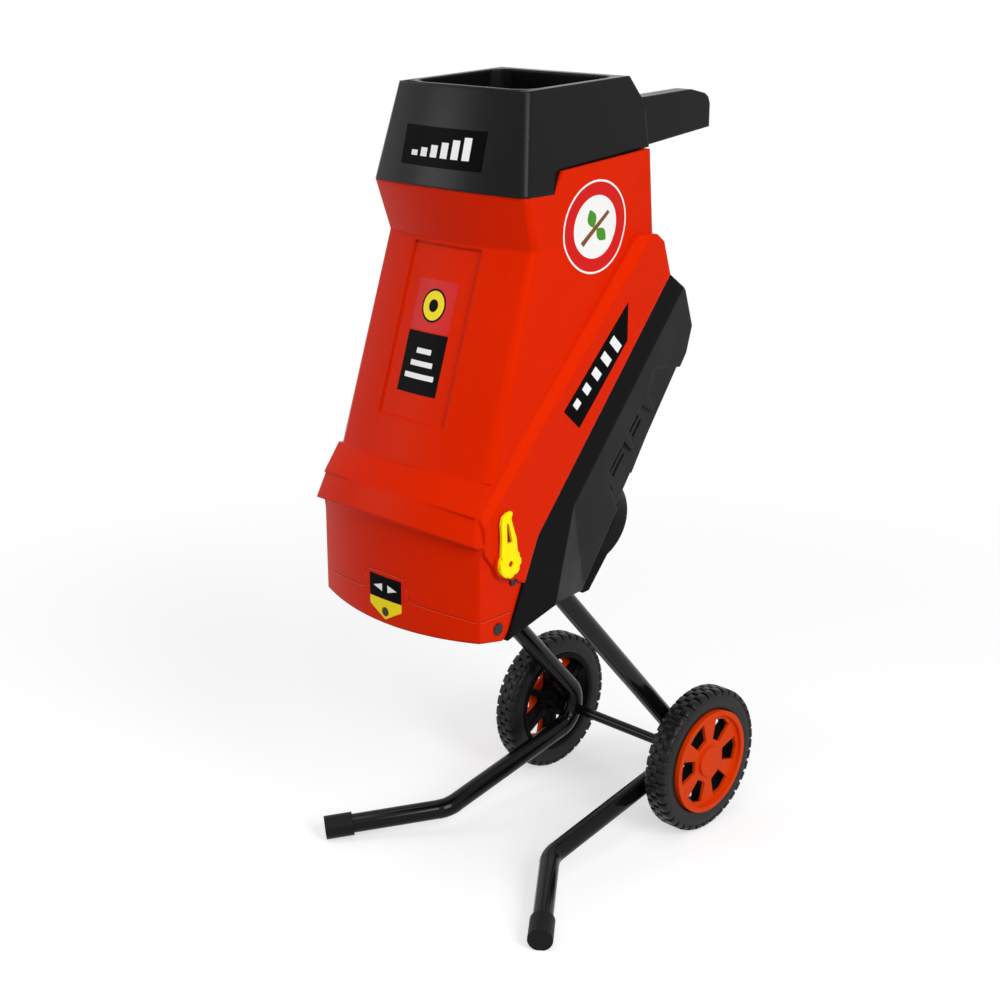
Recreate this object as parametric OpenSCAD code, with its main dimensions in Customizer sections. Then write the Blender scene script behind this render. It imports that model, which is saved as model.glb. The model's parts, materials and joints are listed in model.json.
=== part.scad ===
// Electric garden shredder: a tilting feed hopper over a sloping knife disc, driven by a geared motor,
// on a two-wheeled stand of bent tube.
// Front is -Y and up is +Z. The origin lies on the floor under the middle of the machine.
// Lengths are millimetres and angles are degrees. A reach is a distance forward of the axle.

/* [Stand] */
// Outside diameter of the leg tubes
tube_d = 22; // [20:0.5:24]
// Wall of the leg tubes
tube_wall = 1.5; // [1:0.25:2.5]
// Distance between the legs, centre to centre
leg_gap = 160; // [154:1:164]
// Rake of the upper leg above the floor
leg_rake = 47.8; // [46.8:0.2:48.8]
// Fall of the lower leg towards the front
leg_fall = 10.5; // [9:0.5:12]
// Bend radius of the tubes
bend_r = 32; // [28:1:36]
// Height of the upper end of the legs
leg_top_z = 392; // [385:1:396]
// Reach of the bend before the foot
foot_bend_reach = 214; // [200:1:225]
// Reach of the foot's end
foot_reach = 325; // [310:1:335]
// Half of the distance between the feet
foot_half = 168; // [155:1:180]
// Outside diameter of the rubber foot caps
foot_cap_d = 27; // [26:0.5:32]
// Length of the rubber foot caps
foot_cap_len = 32; // [26:1:38]
// Diameter of the axle rod
axle_d = 12; // [10:0.5:13]

/* [Wheels] */
// Outside diameter of the tyres
tyre_d = 170; // [164:1:176]
// Width of the tyres
tyre_w = 29; // [27:0.5:32]
// Distance from the middle of the machine to a tyre's inner face
tyre_x = 102.4; // [101:0.2:106]
// Radius of the rim under the tyre
rim_r = 62; // [58:0.5:66]
// Radius of the hub barrel
hub_r = 16; // [13:0.5:19]
// Number of spokes, and of windows in the hub cap
spoke_count = 6; // [5:1:8]

/* [Hopper] */
// Height of the rim's front edge
rim_z = 849.5; // [835:0.5:860]
// Reach of the rim's front corners
rim_reach = 264.7; // [258:0.5:272]
// Half width of the rim
rim_half = 88.5; // [84:0.5:92]
// Height of the collar's lower front edge
skirt_z = 754.4; // [748:0.5:760]
// Reach of the collar's lower front corners
skirt_reach = 284.6; // [278:0.5:290]
// Half width of the collar's lower edge
skirt_half = 105; // [102:0.5:107]
// Height of the neck
neck_z = 702.7; // [695:0.5:710]
// Half width of the neck
neck_half = 101.5; // [98:0.5:104]
// Reach of the neck's corners
neck_reach = 268.8; // [262:0.5:275]
// Height where the flare starts
flare_z = 488; // [482:1:494]
// Reach of the front corners where the flare starts
flare_reach = 334.5; // [328:0.5:340]
// Half width where the flare starts
flare_half = 109; // [106:0.5:109.5]
// Height of the ledge over the apron
ledge_z = 431.3; // [426:0.5:436]
// Reach of the ledge's corners
ledge_reach = 360; // [358:0.5:366]
// Half width of the ledge and of the raised side bands
ledge_half = 116.5; // [115.5:0.5:120]
// Half width of the lip over the ledge
lip_half = 109.5; // [108:0.5:113]
// Radius of the chimney's front corners
corner_r = 10; // [7:0.5:12]
// Radius of the collar's front corners
collar_corner_r = 8; // [5:0.5:10]
// Reach of the apron's corners
apron_reach = 355; // [352:0.5:357]
// Half width of the apron
apron_half = 112.4; // [111:0.2:114]
// Height of the apron's lower edge
apron_z = 332; // [328:0.5:333]
// Radius of the bow across the front
bow_r = 315; // [290:5:400]
// Wall of the hopper shell and collar
shell_wall = 3.5; // [3:0.1:4]
// Width of the lip round the hopper mouth
mouth_lip = 11; // [8:0.5:14]
// Radius of the mouth's corners
mouth_r = 12; // [6:1:18]

/* [Handle] */
// Distance of the handle's end behind the axle
handle_end = 5; // [0:1:20]
// Half width of the handle loop
handle_half = 93; // [89:0.5:95]
// Width of the handle's arms
handle_arm = 20; // [16:1:26]
// Depth of the handle's cross bar
handle_bar = 28; // [22:1:34]

/* [Chamber] */
// Slope of the knife disc and of the joint between hopper and motor housing
tilt = 50; // [49.5:0.1:50.5]
// Reach of the joint's top
joint_reach = 80; // [77:0.5:83]
// Height of the joint's top
joint_z = 658; // [655:0.5:661]
// Length of the joint along the slope
joint_len = 305; // [301:0.5:307]
// Gap of the joint
joint_gap = 0.5; // [0.3:0.1:1]
// Reach of the hopper's hinge
hinge_reach = 329; // [327:0.5:331]
// Height of the hopper's hinge
hinge_z = 340; // [339:0.5:343]
// Diameter of the hinge screws' shanks
hinge_d = 8; // [6:0.5:9]
// Diameter of the knife disc
disc_d = 184; // [176:1:190]
// Thickness of the knife disc
disc_t = 6; // [5:0.5:7]
// Thickness of a knife
knife_t = 4; // [3:0.5:5]
// Thickness of the chamber floor
floor_t = 5; // [4:0.5:6]

/* [Motor housing] */
// Half width of the motor housing
side_half = 115; // [114.5:0.1:116]
// Wall of the motor housing
housing_wall = 3; // [2.5:0.1:3.5]
// Depth of the housing below the joint at its upper end
back_top = 112; // [110:0.5:115]
// Depth of the housing below the joint at its lower end
back_low = 146; // [144:0.2:148]
// Depth of the crease along the housing's side
crease = 29; // [26:0.5:32]
// Radius of the dome of the motor cover
dome_r = 60; // [59:0.5:62]
// Height of the dome of the motor cover
dome_h = 62; // [61:0.5:66]

/* [Drive] */
// Module of the gears
gear_m = 1.25; // [1.2:0.01:1.3]
// Teeth on the motor pinion
pinion_teeth = 12; // [12:1:12]
// Teeth on the driven gear
gear_teeth = 48; // [48:1:48]
// Radius of the stator
stator_r = 47; // [46:0.5:48]
// Length of the stator
stator_len = 60; // [54:1:62]
// Radius of the armature
armature_r = 25.4; // [23:0.2:25.6]

/* [Controls] */
// Half width of the switch box
box_half = 50; // [49:0.5:53]
// Depth of the switch box
box_h = 40; // [38:0.5:44]
// Diameter of the on and off buttons
button_d = 16; // [14:0.5:17]
// Travel of the buttons
button_travel = 3; // [2:0.25:3.5]
// Diameter of the lock knob
knob_d = 48; // [42:1:52]
// Reach of the side lever's pivot
lever_reach = 322; // [320:0.5:324]
// Height of the side lever's pivot
lever_z = 409; // [406:0.5:412]
// Length of the side lever from its pivot
lever_len = 53; // [46:1:60]

/* [Hidden] */
$fn = 64;

// Clearances: fixed fits, running fits, faces of bodies that move past each other, and cutting overlap
fit = 0.05;
running = 0.06;
clear = 0.3;
eps = 1;
far = 900;

// Heights and points of the hopper's front corners, as [y, z]
lip_z = ledge_z + 26.7;
lip_back = 7;
under_z = ledge_z - 11;
corners = [
  [-rim_reach, rim_z], [-skirt_reach, skirt_z], [-neck_reach, neck_z], [-flare_reach, flare_z],
  [-ledge_reach + lip_back, lip_z], [-ledge_reach, ledge_z], [-apron_reach, ledge_z + 4], [-apron_reach, apron_z]
];
corner_half = [rim_half, skirt_half, neck_half, flare_half, lip_half, ledge_half, apron_half, apron_half];
// Rise of each edge per millimetre forward, which arches the ledge across the bow
arch = [0.1, 0.12, 0, 0.25, 0.5, 0.5, 0.5, -0.19];
// Facets below the collar: the apron's runs up behind the ledge
shell_facets = [1, 2, 3, 4, 6];
front_margin = 45;
// Each front facet reaches back over the body, whose own front lies a little behind it
slice_back = 25;
backset = 2;
facet_step = 0.3;
lap_over = 2;
front_sag = bow_r - sqrt(bow_r * bow_r - ledge_half * ledge_half);
axle_z = tyre_d / 2;
axle_y = (ledge_reach + front_sag - tyre_d / 2) / 2;

// Front corners of the hopper's hollow, which passes behind the ledge in one plane
hollow_drop = 20;
hollow_lift = 0.4;
hollow_front_z = lip_z - 6;
hollow_corners = [
  corners[1] + hollow_lift * (corners[1] - corners[2]), corners[2], corners[3],
  [-apron_reach, hollow_front_z], [-apron_reach, apron_z - hollow_drop]
];
hollow_half = [skirt_half, neck_half, flare_half, apron_half, apron_half];
hollow_arch = [arch[1], arch[2], arch[3], arch[3], 0];

// Joint between the hopper and the motor housing: a straight slope with a steeper lower end
slope_down = [-cos(tilt), -sin(tilt)];
slope_back = [sin(tilt), -cos(tilt)];
joint_top = [-joint_reach, joint_z];
function under_joint(s, w) = joint_top + s * slope_down + w * slope_back;
low_tilt = tilt + 17;
low_z = apron_z - 7;
knee = under_joint(joint_len, 0);
function low_joint(z) = [knee[0] - (knee[1] - z) / tan(low_tilt), z];
joint_low = low_joint(low_z);
hinge = [-hinge_reach, hinge_z];
lug_r = 14;
hinge_trim_r = 15;
// Radius and height of the hinge screws' heads, and the depth of their seats in the shell
hinge_head = [hinge_d / 2 + 2, 2.5];
hinge_sink = 2;

// Collar's lower edge: level in front, a step, then a slow rise to the back
step_front = [-skirt_reach + 39.6, skirt_z];
step_back = [-skirt_reach + 49.6, skirt_z + 21];
collar_rise = 4.7;
collar_back_y = -100;
collar_back = [collar_back_y, step_back[1] + (collar_back_y - step_back[0]) * tan(collar_rise)];
neck_back = [-joint_reach - 13, joint_z + 39];
hopper_back = [collar_back_y - 8, step_back[1] + (collar_back_y - 8 - step_back[0]) * tan(collar_rise)];
rim_back = [collar_back_y - 18, rim_z + 6];
chamfer_back = [collar_back_y + 1, rim_z - 21];

// Raised side band over the disc chamber, with a sloping step along its upper edge
band_top = [-joint_reach - 43, joint_z + 45];
band_tilt = tilt - 3.6;
band_step = 9;
band_low = [-ledge_reach + 8, band_top[1] - (ledge_reach - 8 + band_top[0]) * tan(band_tilt)];
band_bottom_z = ledge_z - 51;
band_front_z = ledge_z - 7;
band_notch = [-lever_reach - 8, lever_z - 14];
band_back = [[-11, 34], [-24, 44]];

// Spindle, motor and knife heights in the sloping frame: z is 0 at the joint and grows into the hopper
spindle_s = 191;
spindle_point = under_joint(spindle_s, 0);
motor_v = -gear_m * (gear_teeth + pinion_teeth) / 2;
disc_z = 18;
knife_z = disc_z + disc_t;
deck_z = knife_z + 18;
deck_t = 4;
spindle_r = 8.5;
spindle_hole_r = spindle_r + 3.5;
case_bolt_r = 2.5;
case_bolt_head = [4.5, 4];
front_bearing = [20, 12];
rear_bearing = [16, 10];
motor_bearing = [14, 8];
tail_bearing = [11, 7];
rear_seat_r = 6;
seat_clear = 0.5;
gear_z = -40;
gear_face = 16;
case_low = -44;
cover_t = 16;
cover_low = case_low - cover_t;
rear_bearing_z = case_low - 2 - rear_bearing[1];
motor_bearing_z = case_low - 4 - motor_bearing[1];
fan_z = cover_low - 16;
fan_r = 34;
fan_t = 12;
stator_top = cover_low - 28;
stator_low = stator_top - stator_len;
post_x = stator_r - 6;
post_r = 5.5;
bolt_r = 2.2;
shield_top = stator_low - 29;
shield_t = 13;
shield_half = 14;
tail_bearing_z = shield_top - 2 - tail_bearing[1];
bolt_hole = 39;
bolt_end = stator_top + 36;
bolt_head_t = 3;
shaft_r = 5.5;
tail_r = 3.95;
comm_r = 14;
comm_z = shield_top + 2;
comm_len = 18;

// Back face of the motor housing, in the same slope
back_s = [33, 309];
back_slope = atan((back_low - back_top) / (back_s[1] - back_s[0]));
function back_depth(s) = back_top + (back_low - back_top) * (s - back_s[0]) / (back_s[1] - back_s[0]);
motor_s = spindle_s - motor_v;
box_s = 141;
box_len = 52;
box_wall = 3;
lock_s = 50;
lock_v = spindle_s - lock_s;
bolt_guide_r = 8;
lock_r = 4;
floor_half = side_half - housing_wall - clear;
floor_low_v = spindle_s - joint_len + housing_wall + clear;
floor_top_v = spindle_s - housing_wall - clear;
floor_screw_x = side_half - housing_wall - 4.7;
floor_screw_v = [floor_low_v + 14, 40, floor_top_v - 14];
screw_r = 2;
head_r = 4;
head_t = 2.5;
tongue_x = 70;
tongue_v = lock_v - 1;
tongue = [12, 3];
tongue_seat = [20, 16];
tongue_seat_t = 4;
tongue_reach = 14;
tongue_slot = [16, 8];

// Legs: the path runs from the socket to the axle bend, then to the foot bend and the foot
leg_x = leg_gap / 2;
leg_down = [0, cos(leg_rake), -sin(leg_rake)];
leg_front = [0, -cos(leg_fall), -sin(leg_fall)];
leg_turn = acos(leg_down * leg_front);
bend_in = (leg_front - leg_down) / norm(leg_front - leg_down);
leg_bend = [0, 0, axle_z] - bend_in * (bend_r / cos(leg_turn / 2) - bend_r);
leg_top = leg_bend - leg_down * (leg_top_z - leg_bend[2]) / sin(leg_rake);
foot_bend = leg_bend + leg_front * (leg_bend[1] + foot_bend_reach) / cos(leg_fall);
foot_run = norm([foot_half - leg_x, foot_reach - foot_bend_reach]);
foot_pitch = atan((foot_bend[2] - foot_cap_d / 2) / foot_run);
foot_flat = 0.6;
foot_z = foot_cap_d / 2 * cos(foot_pitch) - foot_flat;
// The tube swells a little in its bends, which lap over the straight lengths
swell = 0.2;
lap = 3;
leg_bend_tan = bend_r * tan(leg_turn / 2);
leg_bend_c = [leg_x, leg_bend[1], leg_bend[2]] + bend_in * bend_r / cos(leg_turn / 2);
leg_bend_n = ([leg_x, leg_bend[1], leg_bend[2]] - leg_down * leg_bend_tan - leg_bend_c) / bend_r;
leg_bend_k = cross(leg_bend_n, leg_down);
foot_from = [leg_x, foot_bend[1], foot_bend[2]];
foot_to = [foot_half, -foot_reach, foot_z];
foot_out = (foot_to - foot_from) / norm(foot_to - foot_from);
foot_turn = acos(leg_front * foot_out);
foot_bend_tan = bend_r * tan(foot_turn / 2);
foot_side = (foot_out - leg_front * cos(foot_turn)) / sin(foot_turn);
bend_end_n = leg_bend_n * cos(leg_turn) + leg_down * sin(leg_turn);
foot_roll = atan2(foot_side * leg_bend_k, -(foot_side * bend_end_n));
upper_len = norm(leg_bend - leg_top) - leg_bend_tan;
middle_len = norm(foot_bend - leg_bend) - leg_bend_tan - foot_bend_tan;
foot_len = norm(foot_to - foot_from) - foot_bend_tan;
cap_end_t = 4;
socket_r = 15.5;
socket_len = 70;
leg_bolt_at = 34;
leg_bolt_r = 3;

// Wheels, from the leg outwards
sleeve_len = 5.4;
sleeve_r = 9;
hub_in_x = leg_x + tube_d / 2 + sleeve_len + 0.5;
cap_back_x = tyre_x + tyre_w - 5.4;
hub_out_x = cap_back_x - 2.5;
clip_t = 1.9;
wheel_bore_r = axle_d / 2 + running;

// Side lever
lever_seat_x = ledge_half + 2;
lever_t = 4.4;
lever_hub_r = 14.4;
lever_boss_r = 17;
lever_pin_r = 3;

// Points of a closed outline moved inwards, each side by its own distance
function side_normal(a, b) = let (u = (b - a) / norm(b - a)) [-u[1], u[0]];
function moved_sides(p, d) = let (n = len(p)) [
  for (i = [0 : n - 1])
    let (
      a = side_normal(p[(i + n - 1) % n], p[i]),
      b = side_normal(p[i], p[(i + 1) % n]),
      da = d[(i + n - 1) % n],
      db = d[i],
      det = a[0] * b[1] - a[1] * b[0]
    )
    abs(det) < 0.001
      ? p[i] + a * da
      : p[i] + [(da * b[1] - db * a[1]) / det, (a[0] * db - b[0] * da) / det]
];

// Tooth outline of a spur gear with an involute flank
pressure = 25;
backlash = 0.2;
flank_steps = 3;
function roll(a) = tan(a) * 180 / PI - a;
function flank_angle(m, z, r) =
  90 / z - backlash * 90 / (PI * m * z / 2) + roll(pressure)
  - roll(acos(min(1, m * z / 2 * cos(pressure) / r)));
function polar(r, a) = [r * cos(a), r * sin(a)];
function tooth(m, z) = let (
  tip = m * z / 2 + m,
  root = m * z / 2 - 1.25 * m,
  foot = max(root, m * z / 2 * cos(pressure)),
  radii = [for (i = [0 : flank_steps]) foot + (tip - foot) * i / flank_steps]
) concat(
  [[root, -flank_angle(m, z, foot)]],
  [for (r = radii) [r, -flank_angle(m, z, r)]],
  [for (i = [0 : flank_steps]) [radii[flank_steps - i], flank_angle(m, z, radii[flank_steps - i])]],
  [[root, flank_angle(m, z, foot)]]
);
function gear_outline(m, z) = [
  for (i = [0 : z - 1]) for (q = tooth(m, z)) if (q[0] > 0) polar(q[0], q[1] + 360 * i / z)
];

// Frames
module placed() {
  translate([0, axle_y, 0]) children();
}
module sloping() {
  translate([0, spindle_point[0], spindle_point[1]]) rotate([tilt, 0, 0]) children();
}
module on_motor_axis() {
  sloping() translate([0, motor_v, 0]) children();
}
// Frame on the housing's back face: z points out, y points down the slope
module on_back(s) {
  sloping() translate([0, spindle_s - s, -back_depth(s)]) rotate([180 + back_slope, 0, 0]) children();
}
module both_sides() {
  children();
  mirror([1, 0, 0]) children();
}

// Shapes
module across(half) {
  rotate([90, 0, 90]) linear_extrude(2 * half, center = true) children();
}
module along_y() {
  rotate([90, 0, 0]) linear_extrude(2 * far, center = true) children();
}
module rod_x(x0, x1, r, y, z) {
  translate([x0, y, z]) rotate([0, 90, 0]) cylinder(r = r, h = x1 - x0);
}
module ring(r_out, r_in, z, h) {
  translate([0, 0, z]) difference() {
    cylinder(r = r_out, h = h);
    translate([0, 0, -eps]) cylinder(r = r_in, h = h + 2 * eps);
  }
}
module post(x, y, r, z, h) {
  translate([x, y, z]) cylinder(r = r, h = h);
}
module box(x0, x1, y0, y1, z0, z1) {
  translate([x0, y0, z0]) cube([x1 - x0, y1 - y0, z1 - z0]);
}
// Box of size [x, y] about the z axis
module box_about(size, z0, z1) {
  box(-size[0] / 2, size[0] / 2, -size[1] / 2, size[1] / 2, z0, z1);
}
module at_tongue() {
  translate([tongue_x, tongue_v, 0]) children();
}
module straight(a, b, r) {
  v = b - a;
  l = norm(v);
  translate(a) rotate([0, acos(v[2] / l), atan2(v[1], v[0])]) cylinder(r = r, h = l);
}
// Hopper forms. The front is a row of facets between corners p, each bowed across its width.
function crown(p, half, rise, i) = p[i] + (bow_r - sqrt(bow_r * bow_r - half[i] * half[i])) * [-1, rise[i]];
module bowed(p, half, rise, i, d) {
  a = crown(p, half, rise, i);
  b = crown(p, half, rise, i + 1);
  u = (b - a) / norm(b - a);
  r = bow_r / abs(u[1]);
  axis = a - r * [u[1], -u[0]];
  translate([0, axis[0], axis[1]]) rotate([atan2(u[0], -u[1]), 0, 0])
    cylinder(r = r - d - facet_step * (i % 2), h = 2 * far, center = true);
}
// Outline of the region that front facet i takes up
function facet_outline(p, rise, i) = [
  p[i] + [slice_back, 0], p[i], p[i] + front_margin * [-1, rise[i]],
  p[i + 1] + front_margin * [-1, rise[i + 1]], p[i + 1], p[i + 1] + [slice_back, 0]
];
module front_slice(p, half, rise, i, d) {
  intersection() {
    across(ledge_half + eps) polygon(facet_outline(p, rise, i));
    bowed(p, half, rise, i, d);
  }
}
function unit(v) = v / norm(v);
function square_to(v, e) = unit(v - (v * e) * e);
// What a few flats take off the edge between front facet i and the flanks, to round it with radius r
flats = 3;
module corner_round(i, r) {
  a = crown(corners, corner_half, arch, i);
  b = crown(corners, corner_half, arch, i + 1);
  u = (b - a) / norm(b - a);
  from = [corner_half[i], corners[i][0], corners[i][1]];
  to = [corner_half[i + 1], corners[i + 1][0], corners[i + 1][1]];
  e = unit(to - from);
  bow = asin(corner_half[i] * abs(u[1]) / bow_r);
  side = square_to([0, 1, 0], e);
  front = square_to([-cos(bow), u[1] * sin(bow), -u[0] * sin(bow)], e);
  half_angle = acos(side * front) / 2;
  x = -unit(side + front);
  y = cross(e, x);
  c = from - x * r / sin(half_angle);
  turn = 2 * (90 - half_angle) / (flats + 1);
  both_sides() intersection() {
    across(far) polygon(facet_outline(corners, arch, i));
    multmatrix([[x[0], y[0], e[0], c[0]], [x[1], y[1], e[1], c[1]], [x[2], y[2], e[2], c[2]], [0, 0, 0, 1]])
      for (k = [1 : flats]) rotate(turn * (k - (flats + 1) / 2)) box(r, far, -far, far, -far, far);
  }
}
module width_limit(levels) {
  along_y() polygon(concat(
    [for (q = levels) q],
    [for (i = [len(levels) - 1 : -1 : 0]) [-levels[i][0], levels[i][1]]]
  ));
}
module hopper_form() {
  outline = concat(
    [hopper_back, step_back, step_front], [for (i = [1 : 4]) corners[i]],
    [[-apron_reach, under_z], corners[7], joint_low, knee, joint_top, neck_back]
  );
  sides = concat([0, 0, 0], [for (i = [1 : 5]) backset], [0, -lap_over, -lap_over, 0, 0]);
  difference() {
    intersection() {
      width_limit([
        [2 * skirt_half - neck_half, 2 * skirt_z - neck_z], [neck_half, neck_z], [flare_half, flare_z],
        [lip_half, lip_z], [ledge_half, ledge_z], [apron_half, under_z], [apron_half, 0]
      ]);
      union() {
        across(ledge_half + eps) polygon(moved_sides(outline, sides));
        for (i = shell_facets) front_slice(corners, corner_half, arch, i, 0);
      }
    }
    for (i = [1, 2]) corner_round(i, corner_r);
  }
}
// Hollow of the hopper, open at the top, at the bottom and at the joint
module hopper_hollow() {
  d = shell_wall;
  open = -2 * lap_over;
  n = len(hollow_corners);
  outline = concat(
    [hopper_back, step_back, step_front], hollow_corners,
    [joint_low + [0, -hollow_drop], knee, joint_top, neck_back]
  );
  sides = concat([open, open, open], [for (i = [1 : n - 1]) d + backset], [open, open, open, d, d]);
  intersection() {
    width_limit([
      [2 * skirt_half - neck_half - d, 2 * skirt_z - neck_z], [neck_half - d, neck_z],
      [flare_half - d, flare_z], [apron_half - d, hollow_front_z], [apron_half - d, 0]
    ]);
    union() {
      across(ledge_half) polygon(moved_sides(outline, sides));
      for (i = [0 : n - 2])
        front_slice(hollow_corners, hollow_half, hollow_arch, i, d + facet_step * (i % 2));
    }
  }
}
module band_form(d) {
  over = d == 0 ? -lap_over : -2 * lap_over;
  outline = [
    band_top, band_low, [band_low[0], band_front_z], band_notch, low_joint(band_bottom_z), knee, joint_top,
    joint_top + band_back[0], joint_top + band_back[1]
  ];
  intersection() {
    across(ledge_half - d) polygon(moved_sides(outline, [d, d, d, d, over, over, d + 1, d, d]));
    translate([0, band_top[0], band_top[1]]) rotate([band_tilt, 0, 0]) rotate([-90, 0, 0])
      linear_extrude(2 * far, center = true) polygon([
        [ledge_half - band_step - d, 0], [ledge_half - d, band_step], [ledge_half - d, far],
        [d - ledge_half, far], [d - ledge_half, band_step], [band_step + d - ledge_half, 0]
      ]);
  }
}
// Everything behind the joint, with the joint's gap
module behind_joint() {
  top = joint_top - joint_len * slope_down;
  low = low_joint(0);
  across(far) polygon(moved_sides(
    [top, knee, low, low + [far, 0], top + [far, 0]], [-joint_gap, -joint_gap, 0, 0, 0]
  ));
}
feed = [55, -40, 70];
panel_half = 46;
panel_z = [533, 699];
panel_depth = 2;
front_screw = [apron_reach + bow_r - sqrt(bow_r * bow_r - apron_half * apron_half), hinge_z + 0.7];
side_screw = [-hinge_reach + 19.5, hinge_z + 44.5];
screw_boss_r = 6;
screw_sink = 0.5;
side_head_t = 2;
head_hole = [head_r + 0.2, 4];
liner_y = -apron_reach + 8;
liner_t = 3;
liner_half = apron_half - shell_wall - 0.5;
wing_z = [side_screw[1] - 14, side_screw[1] + 6];
wing_lap = 12;
// Counter knife under the edge of the feed opening, and the boss of the lock's insert
counter_half = 50;
counter_w = 12;
counter_t = 6;
counter_bolt = [30, feed[1] - 6];
counter_bolt_r = screw_r + 0.5;
counter_head = [4.5, 3];
insert_r = 6;
insert_len = 15;
insert_boss_r = 9;

// Frame of the front screw: z runs inwards
module at_front_screw() {
  translate([0, -front_screw[0], front_screw[1]]) rotate([-90, 0, 0]) children();
}

module hopper_shell() {
  color("orangered") placed() difference() {
    union() {
      difference() {
        union() {
          hopper_form();
          band_form(0);
        }
        hopper_hollow();
        band_form(shell_wall);
      }
      intersection() {
        union() {
          hopper_form();
          band_form(0);
        }
        union() {
          sloping() difference() {
            box(-far, far, -far, far, deck_z, deck_z + deck_t);
            box(-feed[0], feed[0], feed[1], feed[2], deck_z - eps, deck_z + deck_t + eps);
          }
          sloping() post(0, lock_v, insert_boss_r, joint_gap, deck_z - joint_gap);
          at_front_screw() post(0, 0, screw_boss_r, eps, front_screw[0] - eps + liner_y - clear);
        }
      }
      rod_x(apron_half - shell_wall, lever_seat_x, lever_boss_r, -lever_reach, lever_z);
      rod_x(lever_seat_x - eps, lever_seat_x + lever_t - 1, lever_pin_r, -lever_reach, lever_z);
    }
    behind_joint();
    // Shallow panel in the front
    difference() {
      box(-panel_half, panel_half, -far, -neck_reach + 20, panel_z[0], panel_z[1]);
      bowed(corners, corner_half, arch, 2, panel_depth);
    }
    // Threaded insert and counter knife screws
    sloping() post(0, lock_v, insert_r + fit, 0, insert_len + 1);
    sloping() both_sides()
      post(counter_bolt[0], counter_bolt[1], counter_bolt_r + fit, deck_z - eps, deck_t + 2 * eps);
    // Front and side screws, hinge screws
    at_front_screw() {
      post(0, 0, screw_r + fit, -2 * eps, 40);
      post(0, 0, head_hole[0], -2 * eps, head_hole[1]);
    }
    rod_x(-far, far, screw_r + fit, side_screw[0], side_screw[1]);
    both_sides() rod_x(apron_half, far, head_hole[0], side_screw[0], side_screw[1]);
    rod_x(-far, far, hinge_d / 2 + running, hinge[0], hinge[1]);
    both_sides() rod_x(apron_half - hinge_sink, far, hinge_head[0] + clear, hinge[0], hinge[1]);
    // Lower rear corner rounded about the hinge
    difference() {
      across(far) polygon([
        hinge, hinge + [0, -far], hinge + [far, -far], hinge + far * [cos(low_tilt - 90), sin(low_tilt - 90)]
      ]);
      rod_x(-far, far, hinge_trim_r, hinge[0], hinge[1]);
    }
  }
}

mouth_front = -rim_reach + mouth_lip;
mouth_back = rim_back[0] - mouth_lip;
mouth_half = rim_half - mouth_lip;
mouth_draft = 6;
collar_outline = [rim_back, corners[0], corners[1], step_front, step_back, collar_back, chamfer_back];

module collar_form(d) {
  open = -2 * eps;
  sides = d == 0 ? [0, backset, 0, 0, 0, 0, 0] : [d, d + backset, open, open, open, d, d];
  intersection() {
    width_limit([
      [2 * rim_half - skirt_half - d, 2 * rim_z - skirt_z], [skirt_half - d, skirt_z], [skirt_half - d, 0]
    ]);
    union() {
      across(far) polygon(moved_sides(collar_outline, sides));
      front_slice(corners, corner_half, arch, 0, d);
    }
  }
}
// Tapered shaft of the mouth, grown by d, with corners rounded by flats
module mouth_shaft(d) {
  top = rim_z + 3 * mouth_lip;
  low = skirt_z - eps;
  turn = 90 / (flats + 1);
  difference() {
    intersection() {
      along_y() polygon([
        [mouth_half + d, top], [-mouth_half - d, top], [-mouth_half - mouth_draft - d, low],
        [mouth_half + mouth_draft + d, low]
      ]);
      across(far) polygon([
        [mouth_back + d, top], [mouth_front - d, top], [mouth_front - 2 * mouth_draft - d, low],
        [mouth_back + mouth_draft + d, low]
      ]);
    }
    both_sides() for (k = [1 : flats]) {
      translate([mouth_half - mouth_r, mouth_front + mouth_r, 0]) rotate(-turn * k)
        box(mouth_r + d, far, -far, far, -far, far);
      translate([mouth_half - mouth_r, mouth_back - mouth_r, 0]) rotate(turn * k)
        box(mouth_r + d, far, -far, far, -far, far);
    }
  }
}
handle_low = collar_back[1];
// The cross bar is lower than the arms
bar_top = 36;
handle_rise = tan(collar_rise);
handle_lap = 3;
handle_tip = [[0, 35], [-3, 42], [-9, 46], [-31, 51]];
arm_top = 48;
hand_hole_y = collar_back_y + 4;
module hopper_collar() {
  low = handle_low + (handle_end - collar_back_y) * handle_rise + handle_lap;
  inner = handle_half - handle_arm;
  handle_outline = concat(
    [[collar_back_y - handle_lap, handle_low], [handle_end, low]],
    [for (q = handle_tip) [handle_end, handle_low] + q],
    [[collar_back_y - handle_lap, handle_low + arm_top]]
  );
  color([0.09, 0.09, 0.1]) placed() difference() {
    union() {
      difference() {
        collar_form(0);
        corner_round(0, collar_corner_r);
        difference() {
          collar_form(shell_wall);
          mouth_shaft(shell_wall);
        }
      }
      difference() {
        across(handle_half) polygon(handle_outline);
        box(-inner, inner, hand_hole_y, handle_end - handle_bar, 0, far);
        box(-inner, inner, hand_hole_y, far, handle_low + bar_top, far);
      }
    }
    mouth_shaft(0);
  }
}

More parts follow.
